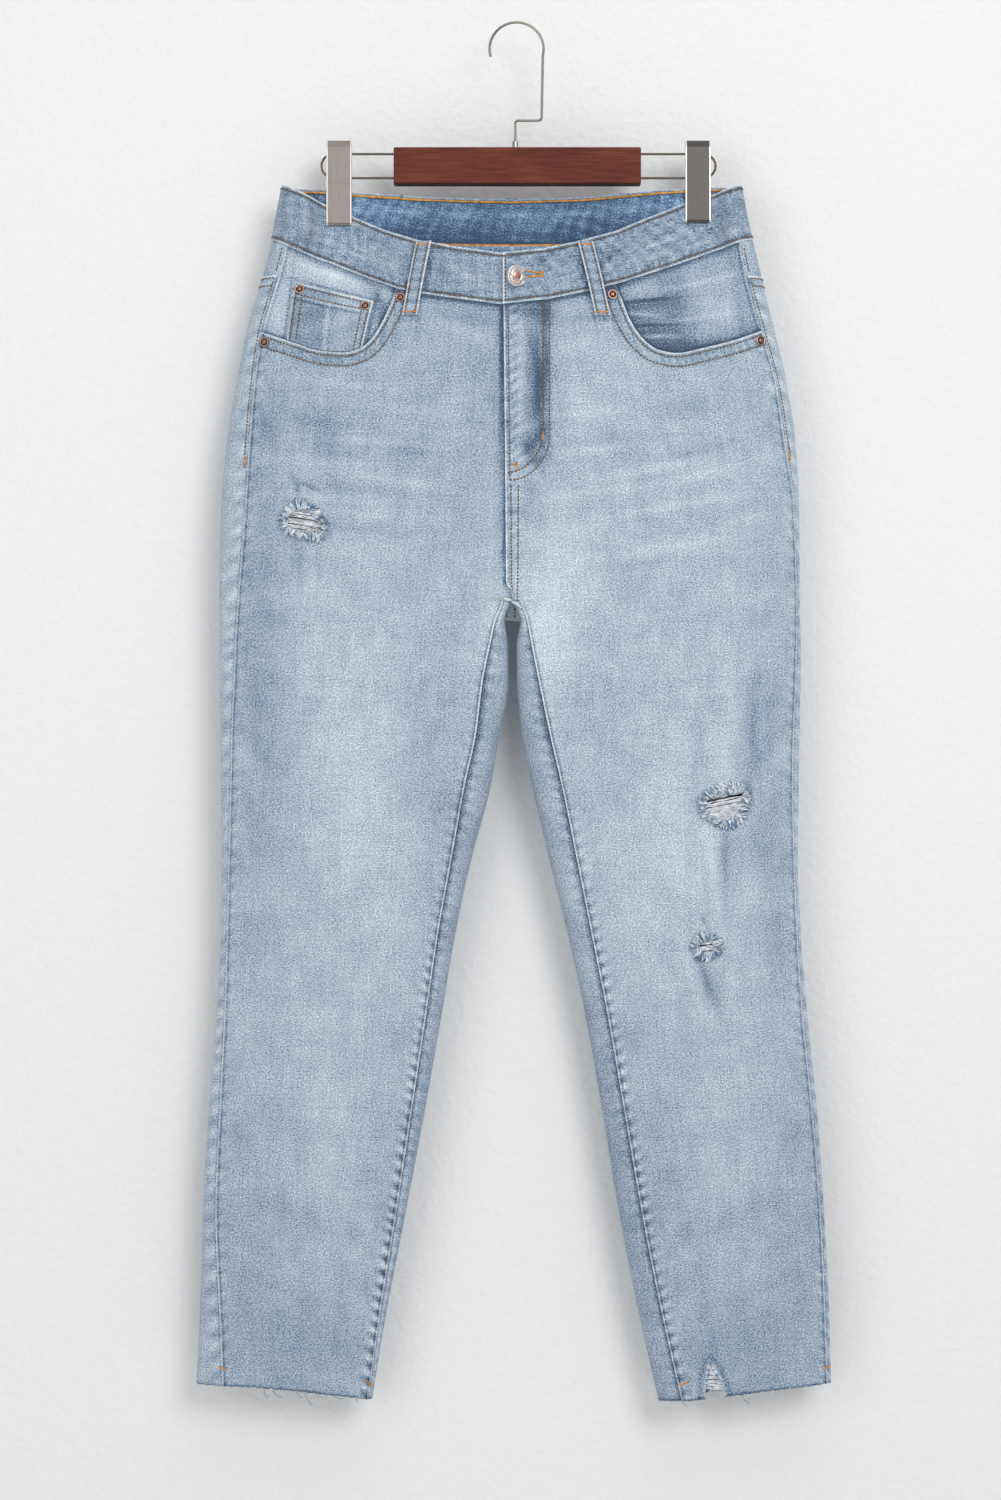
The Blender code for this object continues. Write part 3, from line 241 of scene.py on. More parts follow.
def sectionLine(side, down):
    # the front from its inner edge to its outer one, and the back the other way, at one level
    outer, inner = float(edgeX(side, "outer", down)), float(edgeX(side, "inner", down))
    front, back, full, blunt = (float(tableAt(body["depths"], column, down)) for column in (1, 2, 3, 4))
    share = (1 - np.cos(np.linspace(0, math.pi, 121))) / 2
    swell = (1 - np.clip((share - 0.5) / 0.5, 0, 1) ** body["outerBlunt"]) ** (1 / body["outerBlunt"])
    swell *= 1 - (1 - full) * np.clip((0.45 - share) / 0.45, 0, 1) ** 2
    closing = (1 - np.clip((0.5 - share) / 0.5, 0, 1) ** blunt) ** (1 / blunt)
    swell *= 1 - (1 - closing) * float(ease(body["crotch"] - body["saddle"], body["crotch"], down))
    x = inner + (outer - inner) * share
    held = pinchAt(side, x, down)
    edge = np.clip(swell / 0.25, 0, 1)
    halves = []
    for face, deep, sign in (("front", front, -1), ("back", back, 1)):
        bulge = (deep * swell + foldHeight(face, x, down) * edge) * (1 - held) + clips["half"] * edge * held
        halves.append(np.stack((x, sign * bulge), 1))
    lines, lengths = [], []
    for line in (halves[0], halves[1][::-1]):
        marks = marksAlong(line)
        at = np.linspace(0, marks[-1], samples + 1)
        lines.append(np.stack((np.interp(at, marks, line[:, 0]), np.interp(at, marks, line[:, 1])), 1))
        lengths.append(marks[-1])
    return np.concatenate((lines[0], lines[1][1:])), lengths


def buildForm(side, low, high):
    downs = np.linspace(low, high, int((high - low) / 2) + 1)
    made = [sectionLine(side, down) for down in downs]
    points = np.array([line for line, _ in made])
    closed = low >= body["crotch"]
    before = np.concatenate((points[:, -2:-1] if closed else points[:, :1], points[:, :-1]), 1)
    after = np.concatenate((points[:, 1:], points[:, 1:2] if closed else points[:, -1:]), 1)
    heading = after - before
    heading /= np.linalg.norm(heading, axis=2)[:, :, None]
    return {"low": low, "step": downs[1] - downs[0], "count": len(downs),
            "x": points[:, :, 0], "y": points[:, :, 1],
            "nx": heading[:, :, 1] * side, "ny": -heading[:, :, 0] * side,
            "lengths": np.array([lengths for _, lengths in made])}


forms = {}
for side in (-1, 1):
    forms[side, "hips"] = buildForm(side, 128.0, body["crotch"] - 0.01)
    forms[side, "leg"] = buildForm(side, body["crotch"], 1134.0)
print("form of both legs worked out")


def levelOf(form, down):
    level = np.clip((down - form["low"]) / form["step"], 0, form["count"] - 1.001)
    return level.astype(int), level - level.astype(int)


def eachForm(side, down):
    above = down < body["crotch"]
    return [(forms[side, name], chosen) for name, chosen in (("hips", above), ("leg", ~above)) if chosen.any()]


def place(side, down, share, out=0.0):
    # share goes from 0 at the inner edge to 1 at the outer edge on the front, and on to 2 along the back
    down, share, out = np.broadcast_arrays(np.asarray(down, float), share, out)
    found = np.zeros(down.shape + (3,))
    for form, chosen in eachForm(side, down):
        level, rest = levelOf(form, down[chosen])
        at = share[chosen]
        at = np.where(at > 2, at - 2, at) if form["low"] >= body["crotch"] else np.clip(at, 0, 2)
        at = at * samples
        index = np.clip(at.astype(int), 0, 2 * samples - 1)
        part = at - index

        def value(key):
            table = form[key]
            upper = table[level, index] * (1 - part) + table[level, index + 1] * part
            lower = table[level + 1, index] * (1 - part) + table[level + 1, index + 1] * part
            return upper * (1 - rest) + lower * rest

        nx, ny = value("nx"), value("ny")
        size = np.hypot(nx, ny)
        found[chosen] = np.stack((value("x") + out[chosen] * nx / size, value("y") + out[chosen] * ny / size,
                                  -down[chosen]), -1)
    return found / 1000


def faceLength(side, down, face="front"):
    down = np.asarray(down, float)
    found = np.zeros(down.shape)
    for form, chosen in eachForm(side, down):
        level, rest = levelOf(form, down[chosen])
        lengths = form["lengths"][:, 0 if face == "front" else 1]
        found[chosen] = lengths[level] * (1 - rest) + lengths[level + 1] * rest
    return found


def shareAtX(side, face, down, x):
    down, x = np.broadcast_arrays(np.asarray(down, float), np.asarray(x, float))
    found = np.zeros(down.shape)
    for form, chosen in eachForm(side, down):
        level, rest = levelOf(form, down[chosen])
        rows = form["x"][level] * (1 - rest)[:, None] + form["x"][level + 1] * rest[:, None]
        rows = (rows[:, :samples + 1] if face == "front" else rows[:, samples:][:, ::-1]) * side
        at = x[chosen] * side
        index = np.clip((rows < at[:, None]).sum(1) - 1, 0, samples - 1)
        row = np.arange(len(at))
        part = np.clip((at - rows[row, index]) / np.maximum(rows[row, index + 1] - rows[row, index], 1e-9), 0, 1)
        share = (index + part) / samples
        found[chosen] = share if face == "front" else 2 - share
    return found


def spot(face, x, down, out=0.0):
    # places on the front or the back at x and down
    x, down, out = np.broadcast_arrays(np.asarray(x, float), np.asarray(down, float), out)
    found = np.zeros(x.shape + (3,))
    for side in (-1, 1):
        chosen = x < body["centre"] if side == -1 else x >= body["centre"]
        if chosen.any():
            share = shareAtX(side, face, down[chosen], x[chosen])
            found[chosen] = place(side, down[chosen], share, out[chosen])
    return found


def facing(face, x, down):
    across = spot(face, x + 1.5, down) - spot(face, x - 1.5, down)
    downward = spot(face, x, down + 1.5) - spot(face, x, down - 1.5)
    normal = np.cross(across, downward)
    normal /= np.linalg.norm(normal, axis=-1)[..., None]
    return normal * np.where(normal[..., 1:2] * (-1 if face == "front" else 1) > 0, 1, -1)


def flyX(down):
    return np.interp(down, *zip(*fly["edge"]))


def flyLift(run):
    return body["layer"] * (1 - ease(fly["flat"], fly["flat"] + fly["ease"], run))


levelList = np.concatenate((np.arange(128, 473, 1.5), [473.58, 473.6], np.arange(474.5, 1134, 1.5)))
seamShares = {side: shareAtX(side, "front", levelList, edgeX(side, "seam", levelList)) for side in (-1, 1)}
inseamShares = {side: shareAtX(side, "front", levelList, edgeX(side, "inseam", levelList)) for side in (-1, 1)}
lapRuns = shareAtX(-1, "front", levelList, flyX(levelList)) * faceLength(-1, levelList)


def seamShare(side, down):
    return np.interp(down, levelList, seamShares[side])


def innerShare(side, down):
    return np.interp(down, levelList, inseamShares[side])


# Finishes.

looks = {
    # sRGB steps of the wash, from unfaded to bleached
    "denim": ((0.0, (56, 76, 102)), (0.25, (111, 134, 157)), (0.5, (155, 172, 190)), (0.75, (188, 201, 213)),
              (1.0, (229, 235, 239))),
    "denimInsideShaded": ((0.0, (50, 76, 108)), (0.25, (100, 134, 168)), (0.5, (146, 174, 202)), (0.75, (188, 204, 218)),
                    (1.0, (228, 234, 239))),
    # the stitches sunk in the seams are dark grey: thread and the painted shade of the seams' grooves in one colour
    "tanThread": (122, 88, 42), "shadedSeamThread": (92, 92, 98), "tackThread": (206, 148, 72),
    "goldThread": (206, 150, 76), "paleThread": (228, 237, 247), "weftThread": (206, 210, 215),
    "darkThread": (104, 106, 110), "blueThread": (104, 138, 172), "agedCopper": (154, 136, 126),
    "darkCopper": (48, 34, 30), "rivetPoint": (150, 104, 90), "brushedSilver": (236, 230, 227),
    "roseCopper": (206, 160, 148), "satinNickel": (150, 144, 137), "dullWire": (108, 100, 92),
    # the two clips are the same nickel: the right one's paler tone is painted light, the left one's darker tone
    # painted shade
    "clipRightLit": (143, 137, 133), "clipLeftShaded": (86, 84, 82), "wood": (122, 64, 48), "woodDark": (76, 34, 24),
}


def linear(colour):
    return [((c / 255 + 0.055) / 1.055) ** 2.4 if c > 10.3 else c / 255 / 12.92 for c in colour] + [1.0]


def newMaterial(name, roughness, metallic=0.0, sheen=0.0):
    material = bpy.data.materials.new(name)
    material.use_nodes = True
    shader = material.node_tree.nodes["Principled BSDF"]
    shader.inputs["Roughness"].default_value = roughness
    shader.inputs["Metallic"].default_value = metallic
    if sheen:
        shader.inputs["Sheen Weight"].default_value = sheen
        shader.inputs["Sheen Roughness"].default_value = 0.6
    return material, shader


def addNode(material, kind, x, y, **settings):
    node = material.node_tree.nodes.new(kind)
    node.location = (x, y)
    for key, value in settings.items():
        if key in node.inputs and not hasattr(node, key):
            node.inputs[key].default_value = value
        else:
            setattr(node, key, value)
    return node


def link(material, source, target):
    material.node_tree.links.new(source, target)


def onPiece(material):
    return addNode(material, "ShaderNodeTexCoord", -1400, 0).outputs["Object"]


def noiseAt(material, source, scale, stretch, detail, x, y, rough=0.6):
    # noise whose pattern is stretched along the cloth or the grain; places are in metres
    noise = addNode(material, "ShaderNodeTexNoise", x, y, Scale=scale, Detail=detail, Roughness=rough)
    if stretch:
        mapping = addNode(material, "ShaderNodeMapping", x - 220, y, vector_type="POINT", Scale=stretch)
        link(material, source, mapping.inputs["Vector"])
        source = mapping.outputs["Vector"]
    link(material, source, noise.inputs["Vector"])
    return noise.outputs["Fac"]


def worked(material, operation, value, other, x, y):
    # one sum on a value, with a number or with another value
    node = addNode(material, "ShaderNodeMath", x, y, operation=operation)
    link(material, value, node.inputs[0])
    if isinstance(other, float):
        node.inputs[1].default_value = other
    elif other:
        link(material, other, node.inputs[1])
    return node.outputs[0]


def scaled(material, value, factor, x, y, shift=-0.5):
    moved = worked(material, "ADD", value, shift, x, y)
    return worked(material, "MULTIPLY", moved, factor, x + 160, y)


def total(material, values, x, y):
    current = values[0]
    for number, value in enumerate(values[1:]):
        current = worked(material, "ADD", current, value, x + 160 * number, y)
    return current


def mapped(material, value, limits, x, y):
    node = addNode(material, "ShaderNodeMapRange", x, y)
    for key, limit in limits.items():
        node.inputs[key].default_value = limit
    link(material, value, node.inputs["Value"])
    return node.outputs["Result"]


def ramped(material, value, stops, x, y):
    ramp = addNode(material, "ShaderNodeValToRGB", x, y)
    while len(ramp.color_ramp.elements) < len(stops):
        ramp.color_ramp.elements.new(0.5)
    for element, (position, colour) in zip(ramp.color_ramp.elements, stops):
        element.position = position
        element.color = linear(colour)
    link(material, value, ramp.inputs["Fac"])
    return ramp.outputs["Color"]


def shades(colour, spread):
    return (0.3, [c * (1 - spread) for c in colour]), (0.7, [min(255, c * (1 + spread)) for c in colour])


def axisOf(material, output, axis, x, y):
    geometry = addNode(material, "ShaderNodeNewGeometry", x - 200, y)
    parted = addNode(material, "ShaderNodeSeparateXYZ", x, y)
    link(material, geometry.outputs[output], parted.inputs[0])
    return parted.outputs[axis]


def roughen(material, shader, height, strength, distance):
    bump = addNode(material, "ShaderNodeBump", 120, -500, Strength=strength, Distance=distance)
    link(material, height, bump.inputs["Height"])
    link(material, bump.outputs["Normal"], shader.inputs["Normal"])


def denim(name, shift, steps):
    material, shader = newMaterial(name, 0.88, sheen=0.12)
    source = addNode(material, "ShaderNodeUVMap", -1500, 200, uv_map="cloth").outputs["UV"]
    wash = addNode(material, "ShaderNodeAttribute", -1500, 500, attribute_name="wash").outputs["Fac"]
    layers = (
        # scale, stretch, detail, strength, shift
        (900, (0.8, 1.0, 1.0), 3.0, 2.1, -0.5),                    # mottled yarns
        (420, (0.06, 1.0, 1.0), 2.0, 0.18, -0.5),                  # slubs across
        (420, (1.0, 0.05, 1.0), 2.0, 0.2, -0.5),                   # slubs down
        (26, (1.0, 1.0, 1.0), 4.0, 0.3, -0.5),                     # uneven wash
        (75, (1.0, 0.7, 1.0), 3.0, 0.26, shift / 1.3 - 0.5),       # rubbed places
    )
    noises = [noiseAt(material, source, scale, stretch, detail, -1100, 200 - 260 * row)
              for row, (scale, stretch, detail, _, _) in enumerate(layers)]
    parts = [scaled(material, noise, strength, -880, 200 - 260 * row, moved)
             for row, (noise, (_, _, _, strength, moved)) in enumerate(zip(noises, layers))]
    tone = total(material, [wash] + parts, -520, 300)
    link(material, ramped(material, tone, steps, 120, 300), shader.inputs["Base Color"])
    twill = addNode(material, "ShaderNodeTexWave", -880, -1160, wave_type="BANDS", bands_direction="DIAGONAL",
                    Scale=330.0, Distortion=1.2)
    link(material, source, twill.inputs["Vector"])
    height = total(material, [scaled(material, twill.outputs["Fac"], 0.25, -640, -1160, 0.0),
                              scaled(material, noises[0], 0.9, -640, -1360, 0.0)], -300, -860)
    roughen(material, shader, height, 0.55, 0.0005)
    return material


def spun(name, colour, spread):
    # thread with a fine twist
    material, shader = newMaterial(name, 0.75)
    twist = noiseAt(material, onPiece(material), 260, None, 3.0, -700, 0, 0.5)
    link(material, ramped(material, twist, shades(colour, spread), -400, 0), shader.inputs["Base Color"])
    roughen(material, shader, twist, 0.4, 0.0002)
    return material


def metal(name, colour, roughness, streaks, spread):
    # brushed metal: fine streaks in colour, gloss and height
    material, shader = newMaterial(name, roughness, 1.0)
    streak = noiseAt(material, onPiece(material), 400, streaks, 4.0, -700, 0, 0.5)
    link(material, ramped(material, streak, shades(colour, spread), -400, 200), shader.inputs["Base Color"])
    gloss = mapped(material, streak, {"To Min": roughness - 0.08, "To Max": roughness + 0.1}, -400, -100)
    link(material, gloss, shader.inputs["Roughness"])
    roughen(material, shader, streak, 0.12, 0.0002)
    return material


def clipMetal(name, colour, middleX):
    # painted highlight: the plate's long edges are made bright where light catches them
    material = metal(name, colour, 0.42, (4.0, 4.0, 0.15), 0.05)
    shader = material.node_tree.nodes["Principled BSDF"]
    face = shader.inputs["Base Color"].links[0].from_socket
    away = worked(material, "SUBTRACT", axisOf(material, "Position", "X", -700, 700), middleX / 1000, -500, 700)
    size = worked(material, "ABSOLUTE", away, None, -300, 700)
    mix = addNode(material, "ShaderNodeMix", 100, 500, data_type="RGBA")
    edgeHighlight = mapped(material, size, {"From Min": 0.0091, "From Max": 0.0095}, -100, 700)
    link(material, edgeHighlight, mix.inputs["Factor"])
    link(material, face, mix.inputs["A"])
    mix.inputs["B"].default_value = linear(looks["brushedSilver"])
    link(material, mix.outputs["Result"], shader.inputs["Base Color"])
    return material


def stainedWood():
    # red-brown stain with long grain, pores and a satin coat
    material, shader = newMaterial("stainedWood", 0.5)
    shader.inputs["Specular IOR Level"].default_value = 0.12
    where = onPiece(material)
    grain = noiseAt(material, where, 30, (1.2, 14.0, 14.0), 6.0, -900, 200)
    pores = noiseAt(material, where, 260, (0.12, 3.0, 3.0), 3.0, -900, -100)
    shade = noiseAt(material, where, 9, (1.0, 1.0, 3.0), 2.0, -900, -400)
    tone = total(material, [scaled(material, grain, 0.9, -650, 200, 0.0), scaled(material, pores, 0.5, -650, -100),
                            scaled(material, shade, 0.8, -650, -400)], -300, 200)
    colour = ramped(material, tone, ((0.2, looks["woodDark"]), (0.8, looks["wood"])), 100, 200)
    # painted shade: the underside, facing down, is made nearly black
    under = mapped(material, axisOf(material, "Normal", "Z", -100, 500),
                   {"From Min": -0.8, "From Max": -0.3, "To Min": 0.25, "To Max": 1.0}, 100, 500)
    undersideShade = addNode(material, "ShaderNodeVectorMath", 300, 300, operation="SCALE")
    link(material, colour, undersideShade.inputs[0])
    link(material, under, undersideShade.inputs["Scale"])
    link(material, undersideShade.outputs["Vector"], shader.inputs["Base Color"])
    roughen(material, shader, tone, 0.25, 0.0003)
    return material


finish = {
    "outside": denim("lightDenim", 0.0, looks["denim"]), "raw": denim("wornEdge", 1.2, looks["denim"]),
    # the inner face: less faded, and darker still as painted shade of the garment's inside
    "inside": denim("denimInsideShaded", -0.9, looks["denimInsideShaded"]), "wood": stainedWood(),
    # one nickel in two tones, painted light on the right clip and painted shade on the left one
    "clipRightLit": clipMetal("clipNickelRightLit", looks["clipRightLit"], clips["x"][-1]),
    "clipLeftShaded": clipMetal("clipNickelLeftShaded", looks["clipLeftShaded"], clips["x"][1]),
}
for name, spread in (("tanThread", 0.22), ("paleThread", 0.1), ("shadedSeamThread", 0.2), ("tackThread", 0.2),
                     ("weftThread", 0.14), ("blueThread", 0.2), ("darkThread", 0.2), ("goldThread", 0.2)):
    finish[name] = spun(name, looks[name], spread)
for name, roughness, streaks, spread in (
        ("agedCopper", 0.36, (1.0, 1.0, 1.0), 0.12), ("darkCopper", 0.6, (1.0, 1.0, 1.0), 0.3),
        ("brushedSilver", 0.34, (1.0, 1.0, 6.0), 0.12), ("roseCopper", 0.4, (1.0, 1.0, 1.0), 0.12),
        ("rivetPoint", 0.4, (1.0, 1.0, 1.0), 0.12), ("satinNickel", 0.3, (1.0, 1.0, 1.0), 0.06),
        ("dullWire", 0.36, (1.0, 1.0, 1.0), 0.08)):
    finish[name] = metal(name, looks[name], roughness, streaks, spread)
print("cloth finishes made")


# Cloth shells.

def addMesh(name, points, faces, materials):
    mesh = bpy.data.meshes.new(name)
    mesh.from_pydata([tuple(p) for p in points], [], faces)
    mesh.update()
    for material in materials:
        mesh.materials.append(material)
    piece = bpy.data.objects.new(name, mesh)
    bpy.context.scene.collection.objects.link(piece)
    return piece


def applyAll(piece):
    bpy.ops.object.select_all(action="DESELECT")
    piece.select_set(True)
    bpy.context.view_layer.objects.active = piece
    for modifier in list(piece.modifiers):
        bpy.ops.object.modifier_apply(modifier=modifier.name)


def clothShell(name, grid, outward, u, v, wash, replaces, skip=None, wall=None,
               inner=None):
    # grid: rows by columns of outer points. outward: one vector each, to turn the faces out
    rows, columns = grid.shape[:2]
    row, column = np.meshgrid(np.arange(rows - 1), np.arange(columns - 1), indexing="ij")
    corner = row * columns + column
    faces = np.stack((corner, corner + columns, corner + columns + 1, corner + 1), -1).reshape(-1, 4)
    if skip is not None:
        faces = faces[~skip.ravel()]
    points = grid.reshape(-1, 3)
    normals = np.cross(points[faces[:, 2]] - points[faces[:, 0]], points[faces[:, 3]] - points[faces[:, 1]])
    if (normals * outward.reshape(-1, 3)[faces[:, 0]]).sum() < 0:
        faces = faces[:, ::-1]
    used = np.unique(faces)
    index = np.full(len(points), -1)
    index[used] = np.arange(len(used))
    faces = index[faces]
    piece = addMesh(name, points[used], faces.tolist(), [finish["outside"], finish["inside"], finish["raw"]])
    mesh = piece.data
    layer = mesh.uv_layers.new(name="cloth")
    corners = np.zeros(len(mesh.loops), np.int32)
    mesh.loops.foreach_get("vertex_index", corners)
    flatPlaces = np.stack((u.ravel()[used], v.ravel()[used]), 1)[corners] / 1000
    layer.data.foreach_set("uv", flatPlaces.astype(np.float32).ravel())
    tone = mesh.attributes.new("wash", "FLOAT", "POINT")
    tone.data.foreach_set("value", wash.ravel()[used].astype(np.float32))
    mesh.shade_smooth()
    thickness = piece.modifiers.new("wall", "SOLIDIFY")
    thickness.thickness = (wall or body["wall"]) / 1000
    thickness.offset = -1
    thickness.material_offset = 1
    thickness.material_offset_rim = 2
    applyAll(piece)
    if inner is not None:
        # the inner side's points follow the outer ones, in the same order
        tones = np.zeros(len(piece.data.vertices), np.float32)
        piece.data.attributes["wash"].data.foreach_get("value", tones)
        tones[len(used):2 * len(used)] += inner.ravel()[used].astype(np.float32)
        piece.data.attributes["wash"].data.foreach_set("value", tones)
    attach(piece, "root")
    if replaces:
        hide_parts(*([replaces] if isinstance(replaces, str) else replaces))
    return piece


def columnsOf(width, coarse, closeRanges=()):
    # shares across a panel, close together at its edges and where something small needs it
    edge = [0, 0.8, 1.6, 2.6, 4.0, 6.0, 8.5]
    marks = edge + list(np.arange(8.5 + coarse, width - 8.5 - coarse / 2, coarse)) + [width - e for e in edge]
    for low, high, step in closeRanges:
        marks += list(np.arange(low, high, step))
    marks = sorted(marks)
    kept = [marks[0]]
    for mark in marks[1:]:
        if mark - kept[-1] > 0.75:
            kept.append(mark)
    kept[-1] = width
    return np.array(kept) / width


def inOutline(outline, x, down):
    # signed distance in millimetres, above 0 inside
    points = np.array(outline, float)
    nxt = np.roll(points, -1, axis=0)
    inside = np.zeros(x.shape, bool)
    nearest = np.full(x.shape, 1e9)
    closest = np.zeros(x.shape + (2,))
    for (ax, ay), (bx, by) in zip(points, nxt):
        part = np.clip(((x - ax) * (bx - ax) + (down - ay) * (by - ay)) / ((bx - ax) ** 2 + (by - ay) ** 2), 0, 1)
        px, py = ax + part * (bx - ax), ay + part * (by - ay)
        away = np.hypot(x - px, down - py)
        better = away < nearest
        nearest = np.where(better, away, nearest)
        closest[better] = np.stack((px, py), -1)[better]
        crosses = (ay > down) != (by > down)
        inside ^= crosses & (x < (bx - ax) * (down - ay) / np.where(by == ay, 1e-9, by - ay) + ax)
    return np.where(inside, nearest, -nearest), closest


# Wash and painted shade: x, down, heading from vertical, length, width, amount. Positive amounts are paler.
frontWashAndShade = (
    (-120, 345, 86, 80, 3, 0.10), (-150, 362, 84, 70, 4, 0.12), (-96, 377, 82, 90, 4, 0.12),
    (-140, 392, 86, 90, 4, 0.08), (-90, 352, 84, 60, 4, -0.08), (-118, 385, 84, 80, 4, -0.08),
    (60, 352, -84, 80, 4, 0.12), (112, 368, -80, 90, 5, 0.16), (70, 384, -82, 90, 5, 0.14),
    (130, 398, -80, 90, 5, 0.12), (60, 416, -84, 90, 5, 0.10), (150, 372, -76, 50, 4, 0.12),
    (90, 342, -82, 90, 5, -0.10), (96, 376, -80, 90, 4, -0.10), (110, 408, -80, 100, 4, -0.08),
    (17, 290, 2, 58, 7, -0.38), (24, 242, 0, 24, 5, -0.36), (22, 334, 8, 30, 4, -0.26),
    (24.5, 290, 0, 120, 1.6, -0.2), (4, 300, 0, 150, 2.0, 0.16), (8, 241, 88, 34, 5, -0.26),
    (10, 350, 30, 30, 6, -0.2), (-4, 330, 88, 12, 1.6, -0.24), (-4, 312, 88, 12, 1.6, -0.2),
    (-3, 346, 86, 14, 2, -0.24), (-4, 262, 88, 12, 1.6, -0.2), (-40, 246, 80, 60, 5, -0.14),
    (52, 246, -80, 50, 5, -0.14), (-30, 262, 70, 60, 6, 0.08), (44, 268, -72, 60, 6, 0.08),
    # the shade beside the belt loops
    (-88, 214, -11, 80, 1.4, -0.3), (-72.2, 214, -11, 80, 1.4, -0.3), (55.6, 214, 13.6, 80, 1.4, -0.3),
    (71.2, 214, 13.6, 80, 1.4, -0.3), (-86, 246, 88, 14, 1.2, -0.3), (70.8, 246.4, 88, 14, 1.2, -0.3),
    # more whiskers, marks at the fly, and broad marks on the thighs: their paler middles are partly fade, partly
    # painted light on the legs' roundness
    (-130, 300, 84, 90, 3.5, 0.09), (-104, 318, 84, 100, 3.5, 0.1), (-126, 331, 86, 90, 3, -0.08),
    (-80, 336, 82, 80, 3, 0.08), (-110, 405, 84, 90, 4, 0.08), (-130, 416, 84, 80, 3.5, -0.07),
    (60, 322, -84, 70, 3.5, 0.09), (120, 336, -80, 90, 3.5, 0.1), (150, 352, -76, 70, 3, -0.09),
    (130, 430, -80, 100, 4, 0.09), (100, 444, -82, 90, 4, -0.07), (180, 410, -74, 60, 4, 0.08),
    (8, 300, 2, 60, 4, 0.10), (14, 310, 0, 150, 9, -0.12), (16, 372, 40, 24, 4, 0.14),
    (2, 388, 84, 14, 2.5, 0.2), (-2, 402, 84, 16, 3, -0.2), (-128, 620, 4, 330, 46, 0.14),
    (132, 620, -4, 330, 42, 0.10), (-60, 640, 12, 260, 22, -0.08),
    # round the rips: painted shade in the creases and hollows and painted light on their ridges; then a darker outer
    # side of the right leg and paler fades below the crotch
    (172, 590, -2, 90, 9, 0.10), (193, 578, -2, 90, 5, -0.18), (201, 592, -4, 120, 10, -0.08),
    (147, 600, -3, 76, 5, -0.12), (170.5, 681, 0, 50, 2.6, -0.26), (177, 692, -4, 90, 8, -0.10),
    (160, 697, 8, 80, 4, 0.10), (198, 680, 10, 60, 9, -0.10), (155, 783, 19, 40, 2.6, -0.24),
    (164, 800, 16, 60, 7, -0.08), (146, 785, 14, 60, 5, 0.10), (153.5, 735, 20, 14, 1.6, -0.3),
    (-178.3, 381, 13, 20, 1.6, -0.3), (-167, 382, 66, 22, 1.6, -0.3), (-152, 360, 10, 80, 9, -0.12),
    (-200, 342, 5, 60, 6, -0.10), (-176, 441, 8, 34, 6, -0.18), (-172, 446, -22, 14, 1.6, 0.2),
    (-161, 444, 3, 34, 2, -0.10), (-208, 520, 2, 300, 24, -0.14), (24, 490, -10, 170, 36, 0.23),
    (-10, 520, 10, 90, 12, 0.12),
    # the fly's creases: a darker strip, with painted shade in the creases and painted light on their ridges
    (17, 325, 0, 230, 15, -0.13), (10, 350, -42, 22, 2.2, -0.24), (19, 341, -34, 22, 2.2, -0.2),
    (24, 352, 30, 18, 2.0, -0.18), (9, 334, -60, 20, 2.4, 0.2), (15, 361, -70, 24, 2.2, -0.2),
    (21, 300, -8, 46, 2.4, -0.2), (12, 286, 8, 40, 2.2, 0.18), (26, 268, 4, 34, 2.0, -0.18),
    # paler middles and darker outer sides of the lower legs, partly fade and partly painted light and shade of their
    # roundness; then broad tone marks on the hips
    (-150, 920, 6, 240, 34, 0.10), (176, 900, -4, 240, 34, 0.10), (-190, 1080, 0, 90, 60, -0.08),
    (190, 1080, 0, 90, 60, -0.08), (215, 700, 0, 260, 14, -0.10), (-160, 330, 80, 50, 12, -0.10),
    (-20, 280, 4, 90, 16, -0.04), (70, 300, -6, 60, 26, 0.06), (150, 320, -70, 50, 14, -0.08),
)
backWash = (
    (-100, 330, 0, 150, 70, 0.12), (96, 330, 0, 150, 70, 0.12), (-120, 470, 74, 110, 5, 0.14),
    (116, 476, -72, 110, 5, 0.14), (-110, 500, 70, 110, 5, -0.10), (108, 506, -70, 110, 5, -0.10),
    (-150, 700, 84, 90, 5, 0.14), (146, 706, -82, 90, 5, 0.14), (-146, 722, 82, 90, 5, -0.1),
    (142, 728, -80, 90, 5, -0.1), (-130, 620, 2, 300, 44, 0.10), (128, 620, -2, 300, 44, 0.10),
    (-160, 930, 4, 220, 36, 0.08), (168, 930, -4, 220, 36, 0.08),
)


# whiskers and streaks on the front of the waistband; the last four marks are painted shadow beside the belt loops
bandWashAndShade = (
    (136, 186, -72, 52, 1.7, 0.2), (120, 180, -73, 44, 1.7, 0.14), (152, 168, -70, 44, 2.0, 0.13),
    (100, 196, -62, 28, 1.8, 0.15), (76, 193, -60, 32, 4, -0.16), (58, 206, -60, 28, 3, -0.14),
    (46, 213, -60, 28, 1.8, 0.16), (22, 200, -50, 24, 5, -0.12), (170, 160, -60, 40, 8, -0.08),
    (-136, 188, 70, 54, 1.8, 0.15), (-100, 203, 64, 44, 1.8, 0.15), (-62, 206, 60, 32, 3, -0.13),
    (-120, 176, 68, 44, 3, -0.12), (-38, 212, 60, 32, 1.8, 0.15), (-160, 172, 64, 40, 5, 0.08),
    (-112, 190, 66, 50, 1.6, 0.12), (-24, 205, 20, 20, 5, 0.12), (-88, 214, -11, 80, 1.4, -0.36),
    (-72.2, 214, -11, 80, 1.4, -0.36), (55.6, 214, 13.6, 80, 1.4, -0.36), (71.2, 214, 13.6, 80, 1.4, -0.36),
)


def painted(marks, x, down):
    tone = np.zeros_like(x)
    for markX, markDown, heading, length, width, amount in marks:
        across, lengthwise = turned(x - markX, down - markDown, heading)
        tone += amount * np.exp(-(across / width) ** 2 - (2 * lengthwise / length) ** 2)
    return tone


